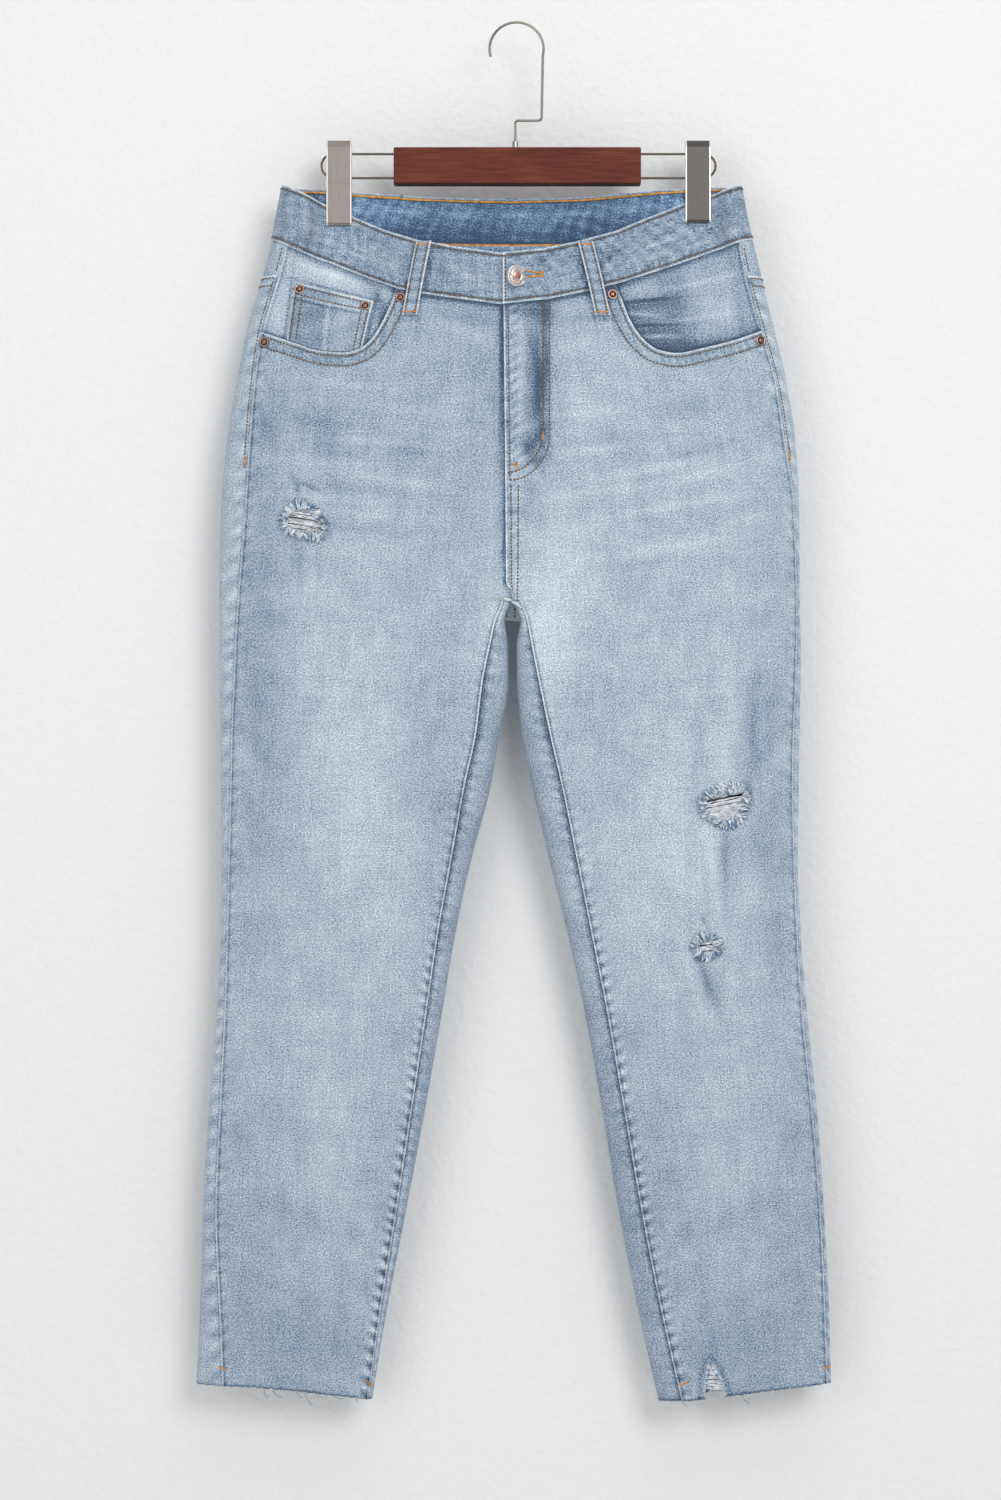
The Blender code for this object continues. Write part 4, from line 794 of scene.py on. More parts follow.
def legTone(side, down):
    if side == -1:
        return np.interp(down, (180, 250, 330, 470, 640, 820, 980, 1070, 1130),
                         (0.48, 0.48, 0.48, 0.54, 0.52, 0.52, 0.46, 0.47, 0.47))
    return np.interp(down, (180, 250, 330, 470, 560, 700, 820, 980, 1070, 1130),
                     (0.48, 0.52, 0.54, 0.54, 0.52, 0.58, 0.51, 0.45, 0.48, 0.46))


def ripple(at, period, seed):
    # uneven waves along a seam, from -1 to 1
    local = np.random.default_rng(seed)
    bend = np.interp(at, np.arange(0, 1300, 40), local.uniform(-0.45, 0.45, 33))
    swell = np.interp(at, np.arange(0, 1300, 27), local.uniform(0.35, 1.0, 49))
    return np.sin(2 * np.pi * (at / period + bend)) * swell


def seamWearAndShade(distance, at, period, seed, strength=1.0):
    # pale worn edge, a line of painted shade beside it in the seam's groove, and puckers that fade away from the seam
    edge = 0.38 * bell(distance, 1.1) - 0.32 * bell(distance, 0.9, 2.4)
    pucker = ripple(at + distance * 0.5, period, seed) * bell(distance, 4.2, 3.5)
    return edge + strength * 0.20 * pucker


def seamBumps(distance, at, period, seed, strength=1.0):
    pucker = ripple(at + distance * 0.5, period, seed) * bell(distance, 4.5, 3.5)
    return strength * 0.35 * pucker - 0.35 * bell(distance, 0.9)


def ripEffects(side, x, down):
    # how the cloth puffs up and pales round the rips, with a ring of painted shadow where the tufts stand over it,
    # and what is inside them
    rise, tone = np.zeros_like(x), np.zeros_like(x)
    hole = np.full(x.shape, -1e9)
    closest = np.zeros(x.shape + (2,))
    for number, outline in enumerate(rips[side]):
        signed, near = inOutline(outline, x, down)
        closest = np.where((signed > hole)[..., None], near, closest)
        hole = np.maximum(hole, signed)
        away = np.maximum(-signed, 0)
        wave = np.sin(x * 1.1 + number) * np.sin(down * 0.9 + 2 * number)
        rise += (0.9 + 0.5 * wave) * bell(away, 2.2, 1.5) * (signed < 0.5)
        # paler at the torn edge; the darker ring further out is painted shadow under the tufts
        tone += (0.3 + 0.2 * wave) * bell(away, 1.2) - (0.24 + 0.1 * wave) * bell(away, 2.4, 4)
    return rise, tone, hole, closest


def awayFrom(line, x, down):
    # distance in millimetres from a line
    nearest = np.full(x.shape, 1e9)
    for (ax, ay), (bx, by) in zip(line[:-1], line[1:]):
        part = np.clip(((x - ax) * (bx - ax) + (down - ay) * (by - ay)) / ((bx - ax) ** 2 + (by - ay) ** 2), 0, 1)
        nearest = np.minimum(nearest, np.hypot(x - ax - part * (bx - ax), down - ay - part * (by - ay)))
    return nearest


def runsOf(grid):
    steps = np.linalg.norm(np.diff(grid, axis=1), axis=2) * 1000
    return np.concatenate((np.zeros((grid.shape[0], 1)), np.cumsum(steps, axis=1)), 1)


def rowDowns(top, step, hemFoot):
    # one line of levels for each column, from its own top to its own hem
    hips = body["hips"]
    count = int(round((hips - float(np.min(top))) / step))
    part = np.linspace(0, 1, count)[:, None]
    upper = top[None, :] + (hips - top[None, :]) * part
    middle = np.concatenate((np.arange(hips + step, body["crotch"] - 2, step), [body["crotch"] - 0.05]))
    lower = np.concatenate(([body["crotch"] + 0.05],
                            np.arange(body["crotch"] + step, body["hem"] - step / 2, step)))
    hemPart = np.linspace(0, 1, int(70 / step))[:, None]
    hem = body["hem"] + (hemFoot[None, :] - body["hem"]) * hemPart
    flatRows = np.concatenate((middle, lower))[:, None] + np.zeros((1, len(top)))
    return np.concatenate((upper, flatRows, hem)), count + len(middle)


panelStep = 2.7


def cornersOf(cells):
    corners = np.zeros((cells.shape[0] + 1, cells.shape[1] + 1), bool)
    for rowMove in (0, 1):
        for columnMove in (0, 1):
            corners[rowMove:cells.shape[0] + rowMove, columnMove:cells.shape[1] + columnMove] |= cells
    return corners


def frontPanel(side):
    name = f"front_{sideNames[side]}"
    close = ((20, 70, 2.0), (92, 130, 1.8)) if side == -1 else ((66, 90, 1.6), (130, 205, 2.0))
    shares = columnsOf(225.0, 4.2, close)
    lap = np.array([0.0, 0.1, 0.3, 0.6]) if side == 1 else np.array([])
    # the top: under the waistband, or along the pocket mouth
    waistX = body["centre"] + (float(edgeX(side, "seam", 183)) - body["centre"]) * shares
    top = along(band["frontSeam"], waistX) - 1.8
    mouth = mouthLine(side)
    mouthShare = shareAtX(side, "front", mouth[:, 1], mouth[:, 0]) / seamShare(side, mouth[:, 1])
    order = np.argsort(mouthShare)
    atMouth = np.interp(shares, mouthShare[order], mouth[order, 1], left=0)
    isMouth = atMouth > top
    top = np.maximum(top, atMouth)
    seamAt, inseamAt = edgeX(side, "seam", 1115), edgeX(side, "inseam", 1115)
    foot = along(body["hems"][side], inseamAt + (seamAt - inseamAt) * shares)
    foot = foot + 0.5 * np.sin(shares * 170) * np.sin(shares * 61 + 1)
    if side == 1:
        top = np.concatenate((along(band["frontSeam"], np.linspace(-10, -3.6, 4)) - 1.8, top))
        foot = np.concatenate((np.full(4, foot[0]), foot))
        isMouth = np.concatenate((np.zeros(4, bool), isMouth))
    down, _ = rowDowns(top, panelStep, foot)
    length = faceLength(side, down)
    leg = down >= body["crotch"]
    blend = ease(458, 470, down) * ~leg
    lapRun = np.interp(down, levelList, lapRuns)
    start = innerShare(side, down) * leg
    firstRun = np.zeros(down.shape)
    share = np.zeros(down.shape)
    mainFirst = len(lap)
    secondRun = 7.0 * np.where(leg, 1.0, blend) if side == 1 else 0.0 * down
    end = seamShare(side, down)
    mainStart = start + secondRun / length
    allShares = np.concatenate((np.zeros(mainFirst), shares))[None, :]
    # only the columns near the inner edge follow its step at the crotch
    softStart = innerShare(side, np.maximum(down, body["crotch"] + 0.1))
    softStart = softStart * ease(body["crotch"] - 60, body["crotch"], down)
    nearest = 0.12   # share of the width that follows it
    far = softStart + (end - softStart) * np.maximum(allShares, nearest)
    near = mainStart + (far - mainStart) * allShares / nearest
    share[:, mainFirst:] = np.where(allShares < nearest, near, far)[:, mainFirst:]
    onRight = np.zeros(down.shape, bool)
    if side == 1:
        for index, part in enumerate(lap):
            low = np.where(leg, 0.0, -lapRun * (1 - blend))
            run = low + (secondRun - low) * part
            onRight[:, index] = run[:, index] < 0
            share[:, index] = (start + run / length)[:, index]
            firstRun[:, index] = run[:, index]
    run = (share - start) * length
    run[:, :mainFirst] = firstRun[:, :mainFirst]
    fromSeam = (end - share) * length
    lift = flyLift(run) * (1 - ease(fly["foot"], body["crotch"] + 10, down)) if side == 1 else np.zeros(down.shape)
    fromInner = run + (np.where(leg, 0.0, lapRun * (1 - blend)) if side == 1 else 0.0)
    rightShare = np.clip(-run, 0, None) / faceLength(-1, down)

    def put(at, atDown, out):
        placed = place(side, atDown, at, out)
        if side == 1 and onRight.any():
            placed[onRight] = place(-1, atDown[onRight], rightShare[onRight], out[onRight])
        return placed

    base = put(share, down, lift)
    x = base[..., 0] * 1000
    # holes: their border vertices move onto the outline
    _, _, hole, closest = ripEffects(side, x, down)
    centreHole = (hole[:-1, :-1] + hole[1:, :-1] + hole[:-1, 1:] + hole[1:, 1:]) / 4
    skip = centreHole > 0
    border = cornersOf(skip) & cornersOf(~skip) & (np.abs(hole) < 3.5) & (down < down[-1][None, :] - 0.1)
    if border.any():
        down = np.where(border, closest[..., 1], down)
        share = share.copy()
        share[border] = shareAtX(side, "front", down[border], closest[border][:, 0])
        run = np.where(border, (share - start) * length, run)
    rise, ripPalingAndShade, hole, _ = ripEffects(side, np.where(border, closest[..., 0], x), down)
    # sewing and wear
    fromTop = down - top[None, :]
    bandNear = np.where(isMouth[None, :], 99.0, fromTop)
    mouthAway = awayFrom(mouth[::2], np.where(border, closest[..., 0], x), down)
    tuck = -1.15 * (1 - ease(1.6, 3.6, bandNear))
    out = lift + tuck + rise + 0.15
    out += seamBumps(fromInner, down, 10.5, 3 + side, 1.0) * np.where(leg, 1.4 * ease(560, 900, down) + 0.3, 0.25)
    out += seamBumps(fromSeam, down, 13.0, 8 + side, 0.35)
    out += 0.3 * ripple(runsOf(base), 6.5, 21) * bell(mouthAway, 3.6, 6.6)
    wash = legTone(side, down) + painted(frontWashAndShade, x, down) + ripPalingAndShade
    wash += seamWearAndShade(fromInner, down, 10.5, 3 + side, np.where(leg, ease(560, 860, down) * 2.0 + 0.4, 0.5))
    wash += seamWearAndShade(fromSeam, down, 13.0, 8 + side, 0.7)
    # the pocket mouth: a pale worn edge, and painted shade in the grooves of its two stitch rows
    wash += 0.42 * bell(mouthAway, 1.2, power=4) - 0.36 * bell(mouthAway, 1.0, 3.0)
    wash -= 0.24 * bell(mouthAway, 1.0, 10.8)
    wash += (0.2 * ripple(runsOf(base), 6.5, 21) - 0.1) * bell(mouthAway, 3.2, 6.8)
    # painted shadow under the waistband's edge
    wash -= 0.5 * bell(bandNear, 1.3, 2.2) + 0.16 * bell(bandNear, 4.0, 4.0)
    if side == -1:
        beside = flyX(down) - x   # how far from the lap
        # painted shadow that the fly's lap casts on the right front beside its edge
        wash -= (0.5 * bell(beside, 1.2, 1.0) + 0.16 * bell(beside, 5)) * (1 - ease(455, 475, down))
    if side == 1:
        # the edge of the fly, and the ladder of marks beside it
        overLap = (fromInner < 40) & ~leg
        wash += overLap * ((0.02 + 0.16 * ripple(down, 23.0, 53)) * bell(fromInner, 2.0, power=4)
                           + 0.24 * ripple(down + fromInner * 0.8, 9.0, 51) * bell(fromInner, 4, 9))
    wash -= 0.34 * bell(down - down[-1][None, :], 1.6)
    grid = put(share, down, out)
    outward = put(share, down, out + 1) - grid
    return clothShell(name, grid, outward, -fromSeam, down, wash, name,
                      skip=skip)


def mouthLine(side, count=90):
    points = np.array(mouths[side], float)
    marks = marksAlong(points)
    at = np.linspace(0, marks[-1], count)
    return np.stack((smoothCurve(marks, points[:, 0], at), smoothCurve(marks, points[:, 1], at)), 1)


def roundTheEdge(seam, outer, inner, share):
    return np.where(share < 0.1, seam + (outer - seam) * share / 0.1,
                    outer + (inner - outer) * (share - 0.1) / 0.9)


def backPanel(side):
    name = f"back_{sideNames[side]}"
    shares = columnsOf(245.0, 4.6)
    wraps = np.linspace(0, 1, 10)[1:]
    columns = len(shares) + len(wraps)
    allShares = np.concatenate((shares, np.ones(len(wraps))))
    allWraps = np.concatenate((np.zeros(len(shares)), wraps))
    top = np.interp(allShares, *zip(*yokeSeam)) - 1.0
    seamFoot, outerFoot, innerFoot, inseamFoot = (float(edgeX(side, which, 1115))
                                                  for which in ("seam", "outer", "inner", "inseam"))
    footX = roundTheEdge(seamFoot, outerFoot, innerFoot, allShares) + (inseamFoot - innerFoot) * allWraps
    foot = along(body["hems"][side], footX) + 0.5 * np.sin(allShares * 150) * np.sin(allShares * 57 + 2)
    if side == 1:
        foot -= 7.0 * bell(footX, 15, 163, power=4)   # hidden behind the notch
    down, firstWrap = rowDowns(top, panelStep, foot)
    leg = down >= body["crotch"]
    start = seamShare(side, down) - 1.4 / faceLength(side, down)
    outer, inner = edgeX(side, "outer", down), edgeX(side, "inner", down)
    backPart = 0.1 * ease(body["crotch"], body["crotch"] + 110, down)
    middle = np.where(leg, shareAtX(side, "back", down, inner + (outer - inner) * backPart), 2.0)
    end = 2.0 + innerShare(side, down) + 1.4 / faceLength(side, down)
    share = start + (middle - start) * allShares[None, :] + np.where(leg, (end - middle) * allWraps[None, :], 0.0)
    skip = np.zeros((down.shape[0] - 1, columns - 1), bool)
    skip[:firstWrap, len(shares) - 1:] = True
    base = place(side, down, share, 0.0)
    x = base[..., 0] * 1000
    run = runsOf(base)
    fromSeam = run
    widthRun = (run[:, len(shares) - 1])[:, None]
    fromCentre = np.where(leg, 99.0, np.abs(widthRun - run))
    fromInseam = np.where(leg, run[:, -1:] - run, 99.0)
    fromTop = down - top[None, :]
    tuckSeam = -1.35 * (1 - ease(1.0, 2.4, fromSeam))
    tuckInseam = -1.35 * (1 - ease(1.0, 2.4, fromInseam))
    out = 0.1 + tuckSeam + tuckInseam + 0.25 * bell(fromTop, 10, power=4)
    out += seamBumps(fromSeam, down, 13.0, 8 + side, 0.4) + seamBumps(fromInseam, down, 10.5, 3 + side, 0.5)
    out += -0.6 * bell(fromCentre, 1.0)
    onFront = share < 1
    wash = legTone(side, down) - 0.03 + painted(backWash, x, down) * (share > 1) * (share < 2)
    wash += np.where(onFront, 0.08, np.where(share > 2, -0.04, 0.0))
    # painted shade along the side seam and the inseam, where their ridges shade the cloth; a pale worn edge at the
    # inseam
    wash -= 0.62 * bell(fromSeam, 1.7) + 0.55 * bell(fromInseam, 1.5)
    wash += 0.2 * bell(fromInseam, 0.9, 3.2)
    wash += 0.22 * ripple(down - fromSeam * 0.5, 17.0, 18 + side) * bell(fromSeam, 5, 6)
    wash += 0.16 * ripple(down - fromInseam * 0.5, 11.0, 28 + side) * bell(fromInseam, 4, 6)
    wash += 0.42 * bell(fromCentre, 1.2) + 0.42 * bell(fromTop, 1.2)
    # puckers under the yoke seam, and painted shade just under its pale edge
    wash += 0.13 * ripple(run, 7, 5) * bell(fromTop, 4, 5) - 0.25 * bell(fromTop, 1.0, 3.4)
    wash -= 0.34 * bell(down - down[-1][None, :], 1.6)
    grid = place(side, down, share, out)
    outward = place(side, down, share, out + 1) - grid
    return clothShell(name, grid, outward, run, down, wash, (name, "seat_" + sideNames[side]),
                      skip=skip)


def yoke(side):
    name = f"yoke_{sideNames[side]}"
    shares = columnsOf(245.0, 5.0)
    seam, outer = float(edgeX(side, "seam", 183)), float(edgeX(side, "outer", 183))
    x = roundTheEdge(seam, outer, body["centre"], shares)
    start = np.where(shares < 0.1, along(band["frontSeam"], x), along(band["backSeam"], x)) - 1.6
    foot = np.interp(shares, *zip(*yokeSeam)) + 1.6
    part = np.linspace(0, 1, 26)[:, None]
    down = start + (foot - start) * part
    first = seamShare(side, down) - 1.4 / faceLength(side, down)
    share = first + (2.0 - first) * shares[None, :]
    base = place(side, down, share, 0.0)
    run = runsOf(base)
    fromTop, fromFoot = down - start, foot - down
    fromCentre = run[:, -1:] - run
    out = -1.15 * (1 - ease(1.4, 3.2, fromTop)) - 1.25 * (1 - ease(1.4, 3.0, fromFoot))
    out += -1.3 * (1 - ease(1.0, 2.4, run)) - 0.6 * bell(fromCentre, 1.0) + 0.1
    wash = 0.52 + 0.06 * ripple(run, 31, 14) + 0.1 * ripple(run, 8, 9) * bell(fromTop, 4, 4)
    wash += 0.42 * bell(fromCentre, 1.2)
    grid = place(side, down, share, out)
    outward = place(side, down, share, out + 1) - grid
    return clothShell(name, grid, outward, run, down, wash, name)


def pocketFacing(side):
    name = f"pocket_facing_{sideNames[side]}"
    shares = np.linspace(0.37, 1.0, 84)
    waistX = body["centre"] + (float(edgeX(side, "seam", 183)) - body["centre"]) * shares
    start = along(band["frontSeam"], waistX) - 1.6
    part = np.linspace(0, 1, 72)[:, None]
    down = start + (284.0 - start) * part
    share = seamShare(side, down) * shares[None, :]
    base = place(side, down, share, 0.0)
    x = base[..., 0] * 1000
    run = runsOf(base)
    fromSeam = run[:, -1:] - run
    out = -body["layer"] - 0.15 + (body["layer"] - 0.5) * (1 - ease(0.5, 3.0, fromSeam)) * ease(0, 4, down - start)
    out = np.where(fromSeam < 0.6, out - 0.4, out)
    if side == 1:
        creases = ((106, 230.2, -83, 52, 2.0, -2.6), (104, 236, -84, 44, 2.6, 1.6), (111, 251, -88, 46, 2.0, -2.8),
                   (108, 244, -86, 40, 2.4, 1.4), (112, 258, -88, 36, 2.4, 1.4), (150, 236, -60, 40, 4, -0.8),
                   (150, 222, 70, 50, 4, 0.5))
        # painted shade in the facing's wrinkles and painted light on their ridges, darker towards the mouth, and
        # paler fades
        tone = ((106, 230.2, -83, 50, 1.5, -0.5), (111, 251, -88, 42, 1.4, -0.5), (103, 242, 86, 34, 1.6, 0.3),
                (112, 260, -88, 30, 1.6, 0.26), (104, 221, -80, 44, 4, 0.12), (112, 256, -88, 40, 2.6, -0.24),
                (106, 234, -84, 46, 2.6, -0.16), (130, 268, 90, 100, 7, -0.24), (183, 240, 6, 70, 4, -0.12),
                (150, 225, 5, 80, 9, 0.10), (128, 238, 10, 60, 7, -0.06), (172, 228, 4, 80, 20, 0.2),
                (104, 240, -84, 60, 9, -0.12), (150, 214, -76, 80, 2.2, 0.16), (140, 246, -80, 60, 2.0, 0.14))
    else:
        creases = ((-150, 216, 70, 60, 5, 0.5), (-190, 244, 10, 50, 5, 0.4))
        # paler fades, painted shadow round the coin pocket, and darker marks towards the mouth
        tone = ((-150, 210, 68, 60, 5, 0.12), (-108, 244, 22, 60, 6, -0.3), (-196, 240, 14, 60, 4, 0.06),
                (-160, 268, 84, 90, 4, -0.24), (-112, 226, 30, 30, 5, -0.14), (-185.6, 238, -7, 62, 1.4, -0.4),
                (-148.4, 220.3, 75, 78, 1.3, -0.34), (-118.4, 251, -12.4, 52, 1.5, -0.45),
                (-150, 206, 70, 60, 3, 0.12),
                (-165, 214, 70, 30, 3, -0.1))
    out = out + painted(creases, x, down) * 0.4
    wash = (0.6 if side == -1 else 0.34) + painted(tone, x, down) + 0.3 * bell(fromSeam, 1.4)
    mouthAway = awayFrom(mouthLine(side, 45), x, down)
    # painted shadow under the mouth's edge, under the waistband and in the groove beside the side seam
    wash -= 0.45 * bell(mouthAway, 2.0) + 0.14 * bell(mouthAway, 7.0)
    wash -= 0.3 * bell(down - start, 2.6, 2) + 0.3 * bell(fromSeam, 1.0, 2.6)
    grid = place(side, down, share, out)
    outward = place(side, down, share, out + 1) - grid
    return clothShell(name, grid, outward, run, down, wash, name)


def bandLine():
    # stations round the waistband: side, face, share of the way from the centre (1 at the clip, 2 at the fold)
    stations = []
    shares = np.concatenate((np.linspace(0, 1, 58), np.linspace(1, 1.82, 14)[1:], np.linspace(1.82, 2, 10)[1:]))
    for side in (-1, 1):
        first, second = ("front", "back") if side == -1 else ("back", "front")
        wayOut = [(side, first, share) for share in shares]
        wayBack = [(side, second, share) for share in shares[::-1][1:]]
        stations += wayOut + wayBack if side == -1 else (wayOut + wayBack)[1:]
    return stations + [(1, "lap", share) for share in (0.15, 0.4, 0.7, 0.9, 1.0)]


def bandX(side, share, fold):
    far = clips["x"][side] + side * clips["flat"]
    return body["centre"] + (far - body["centre"]) * share if share <= 1 else far + (fold - far) * (share - 1)


def waistband():
    stations = bandLine()
    part = band["parts"]
    rows = len(part)
    grid = np.zeros((rows, len(stations), 3))
    outward = np.zeros_like(grid)
    down = np.zeros((rows, len(stations)))
    back = np.zeros((rows, len(stations)), bool)
    for column, (side, face, share) in enumerate(stations):
        if face == "lap":
            x = body["centre"] + (flyX(200) - body["centre"]) * share
            downs = along(band["frontTop"], x) * (1 - part) + along(band["frontSeam"], x) * part
            at = shareAtX(-1, "front", downs, np.full(len(part), x))
            out = np.full(len(part), body["layer"] + band["proud"])
            side = -1   # it lies on the right half
        else:
            topX, seamX = (bandX(side, share, fold) for fold in band["folds"][side])
            top, seam = band[face + "Top"], band[face + "Seam"]
            downs = along(top, topX) * (1 - part) + along(seam, seamX) * part
            outer = edgeX(side, "outer", downs)
            x = np.array([bandX(side, share, fold) for fold in outer])
            at = shareAtX(side, face, downs, x)
            held = pinchAt(side, x, downs)
            out = band["proud"] * (1 - held)
            if side == 1 and face == "front":
                out = out + flyLift(at * faceLength(side, downs))
        back[:, column] = face == "back"
        grid[:, column] = place(side, downs, at, out)
        outward[:, column] = place(side, downs, at, out + 1) - grid[:, column]
        down[:, column] = downs
    run = runsOf(grid)
    length = np.linalg.norm(grid[-1] - grid[0], axis=1) * 1000
    fromTop = part[:, None] * length[None, :]
    fromSeam = (1 - part[:, None]) * length[None, :]
    unit = unitOf(outward)
    soft = 0.5 * ripple(run + fromTop * 0.8, 23, 31) * ripple(fromTop * 2 + run * 0.3, 17, 32)
    edge = -0.3 * bell(fromTop, 1.0) - 0.3 * bell(fromSeam, 1.0)
    held = sum(np.minimum(pinchAt(clip, grid[..., 0] * 1000, down), 1) for clip in (-1, 1))
    loose = np.clip(1 - held, 0, 1)
    grid = grid + unit * ((soft * 0.5 * loose + edge) / 1000)[..., None]
    wash = 0.35 + 0.28 * ripple(run * 1.1 - fromTop * 1.4, 21, 41) * ripple(run + fromTop * 2.0, 34, 42)
    wash += 0.4 * bell(fromTop, 1.2, power=4) + 0.38 * bell(fromSeam, 1.3, power=4)
    # painted shade in the grooves of the stitch rows near the top and the seam
    wash -= 0.3 * bell(fromTop, 1.1, 3.0) + 0.32 * bell(fromSeam, 1.1, 3.0)
    wash += 0.16 * ripple(run, 5.5, 43) * bell(fromSeam, 3, 6)
    wash += 0.1 * ripple(run - fromTop, 6.5, 44) * bell(fromTop, 3, 6)
    wash += ~back * painted(bandWashAndShade, grid[..., 0] * 1000, down)
    fromEnd = run[:, -1:] - run
    wash += 0.46 * bell(fromEnd, 2.2, power=4)
    # streaks along the hidden half, whose inside shows over the front
    streak = bell(fromTop, 2.5, 13) * (0.6 + 0.4 * ripple(run, 47, 45))
    streak += bell(fromTop, 2.0, 33) * (0.5 + 0.5 * ripple(run, 39, 46))
    # on the hidden half's inside: pale streaks, and darker towards its foot as painted shade deep in the waist's
    # opening
    inner = back * (0.26 * streak + 0.1 * ripple(run, 9, 47) * bell(fromTop, 4, 39)
                    - 0.36 * ease(20, 42, fromTop))
    wash += back * 0.12
    inner -= back * 0.12
    return clothShell("waistband", grid, outward, run, down, wash, "waistband",
                      inner=inner), grid, outward


pieces = {}
for side in (-1, 1):
    pieces[f"front{side}"] = frontPanel(side)
    pieces[f"back{side}"] = backPanel(side)
    pieces[f"yoke{side}"] = yoke(side)
    pieces[f"facing{side}"] = pocketFacing(side)
pieces["waistband"], bandGrid, bandOutward = waistband()
print("leg panels, yokes, facings and waistband made")


# Patches that are laid on the cloth.

def patch(name, grid, outward, wash, replaces, wall=None):
    u = runsOf(grid)
    v = runsOf(grid.transpose(1, 0, 2)).T
    return clothShell(name, grid, outward, u, v, wash, replaces, wall=wall)


def frontOut(x, down):
    # how far the outer face of the front stands out: the left one laps over the right one
    x, down = np.broadcast_arrays(np.asarray(x, float), np.asarray(down, float))
    run = np.where(x > body["centre"], shareAtX(1, "front", down, x) * faceLength(1, down), 0.0)
    lift = flyLift(run) * (1 - ease(fly["foot"], body["crotch"] + 10, down))
    return 0.15 + np.where(x > flyX(down), lift, 0.0)


coin = {"top": ((-180.3, 213.5), (-115.7, 230.6)), "footX": (-186.2, -124.4), "out": -0.2, "wall": 1.0}


def coinPlace(share, part):
    # x and down at shares across and down the coin pocket
    mouth = mouthLine(-1, 120)
    order = np.argsort(mouth[:, 0])
    topX = coin["top"][0][0] + (coin["top"][1][0] - coin["top"][0][0]) * share
    footX = coin["footX"][0] + (coin["footX"][1] - coin["footX"][0]) * share
    x = topX + (footX - topX) * part
    foot = np.interp(footX, mouth[order, 0], mouth[order, 1]) - 0.6
    return x, along(coin["top"], topX) * (1 - part) + foot * part


def coinPocket():
    share, part = np.meshgrid(np.linspace(0, 1, 64), np.linspace(0, 1, 48))
    x, down = coinPlace(share, part)
    crease = bell(share - 0.46 - 0.03 * part, 0.03) * (part > 0.2)
    rim = np.minimum(np.minimum(share, 1 - share) * 63, part * 42)
    out = coin["out"] + 0.4 * crease - 0.3 * bell(rim, 0.9)
    wash = 0.3 + 0.16 * ease(0.45, 0.62, share) + 0.24 * crease + 0.46 * bell(rim, 1.2)
    wash += 0.05 * ripple(part * 60 + share * 40, 26, 61) + 0.1 * (part < 0.24)
    # a pale edge at the hem, and painted shade under it
    wash += 0.12 * bell(part * 42, 0.9, 10.4) - 0.26 * bell(part * 42, 0.9, 12)
    # painted shade in the grooves of the stitch rows round the edge
    wash -= 0.22 * bell(rim, 0.9, 2.6)
    grid = spot("front", x, down, out)
    outward = spot("front", x, down, out + 1) - grid
    return patch("coin_pocket", grid, outward, wash, "coin_pocket",
                 wall=coin["wall"])


loops = {
    # face, x and down of the top, x and down of the foot
    "places": (("front", -74.0, 182.0, -86.0, 243.0), ("front", 56.0, 183.0, 70.6, 243.5),
               ("back", -96.0, 139.0, -101.0, 201.0), ("back", -3.0, 140.6, -3.0, 203.0),
               ("back", 90.0, 137.4, 95.0, 200.0)),
    "width": 12.4, "wall": 1.2, "arch": 1.6, "clear": 0.75,
}


def loopPlace(number, share, part, extra=0.0):
    face, topX, top, footX, foot = loops["places"][number]
    x = topX + (footX - topX) * part + loops["width"] * (share - 0.5)
    down = top + (foot - top) * part
    arch = loops["arch"] * np.sin(np.pi * np.clip(part, 0, 1))
    under = frontOut(x, down) if face == "front" else 0.15
    out = under + loops["clear"] + loops["wall"] + arch + extra + 0.35
    return spot(face, x, down, out)


def beltLoop(number):
    share, part = np.meshgrid(np.linspace(0, 1, 15), np.linspace(0, 1, 46))
    rim = np.minimum(share, 1 - share) * loops["width"]
    middle = 0.35 * bell(share, 0.22, 0.5)
    grid = loopPlace(number, share, part, middle - 0.35 * bell(rim, 0.8))
    outward = loopPlace(number, share, part, 1.0 + middle) - grid
    wash = 0.4 + 0.46 * bell(rim, 1.3, power=4) + 0.16 * ripple(part * 62, 9, 70 + number)
    # painted shade in the grooves of the stitch rows along its sides
    wash -= 0.24 * bell(rim, 0.9, 2.3)
    wash += 0.2 * bell(np.minimum(part, 1 - part) * 62, 1.2)
    name = f"belt_loop_{number + 1}"
    return patch(name, grid, outward, wash, name, wall=loops["wall"])


backPocket = {"inner": 38.0, "outer": 178.0, "top": 268.0, "taper": 7.0, "corner": 398.0, "point": 418.0,
              "out": 1.75}


def backPocketPlace(side, share, part, extra=0.0):
    foot = backPocket["point"] - (backPocket["point"] - backPocket["corner"]) * np.abs(2 * share - 1)
    down = backPocket["top"] + (foot - backPocket["top"]) * part
    narrow = backPocket["taper"] * part
    inner, outer = backPocket["inner"] + narrow, backPocket["outer"] - narrow
    x = body["centre"] + side * (inner + (outer - inner) * share)
    return spot("back", x, down, backPocket["out"] + extra)


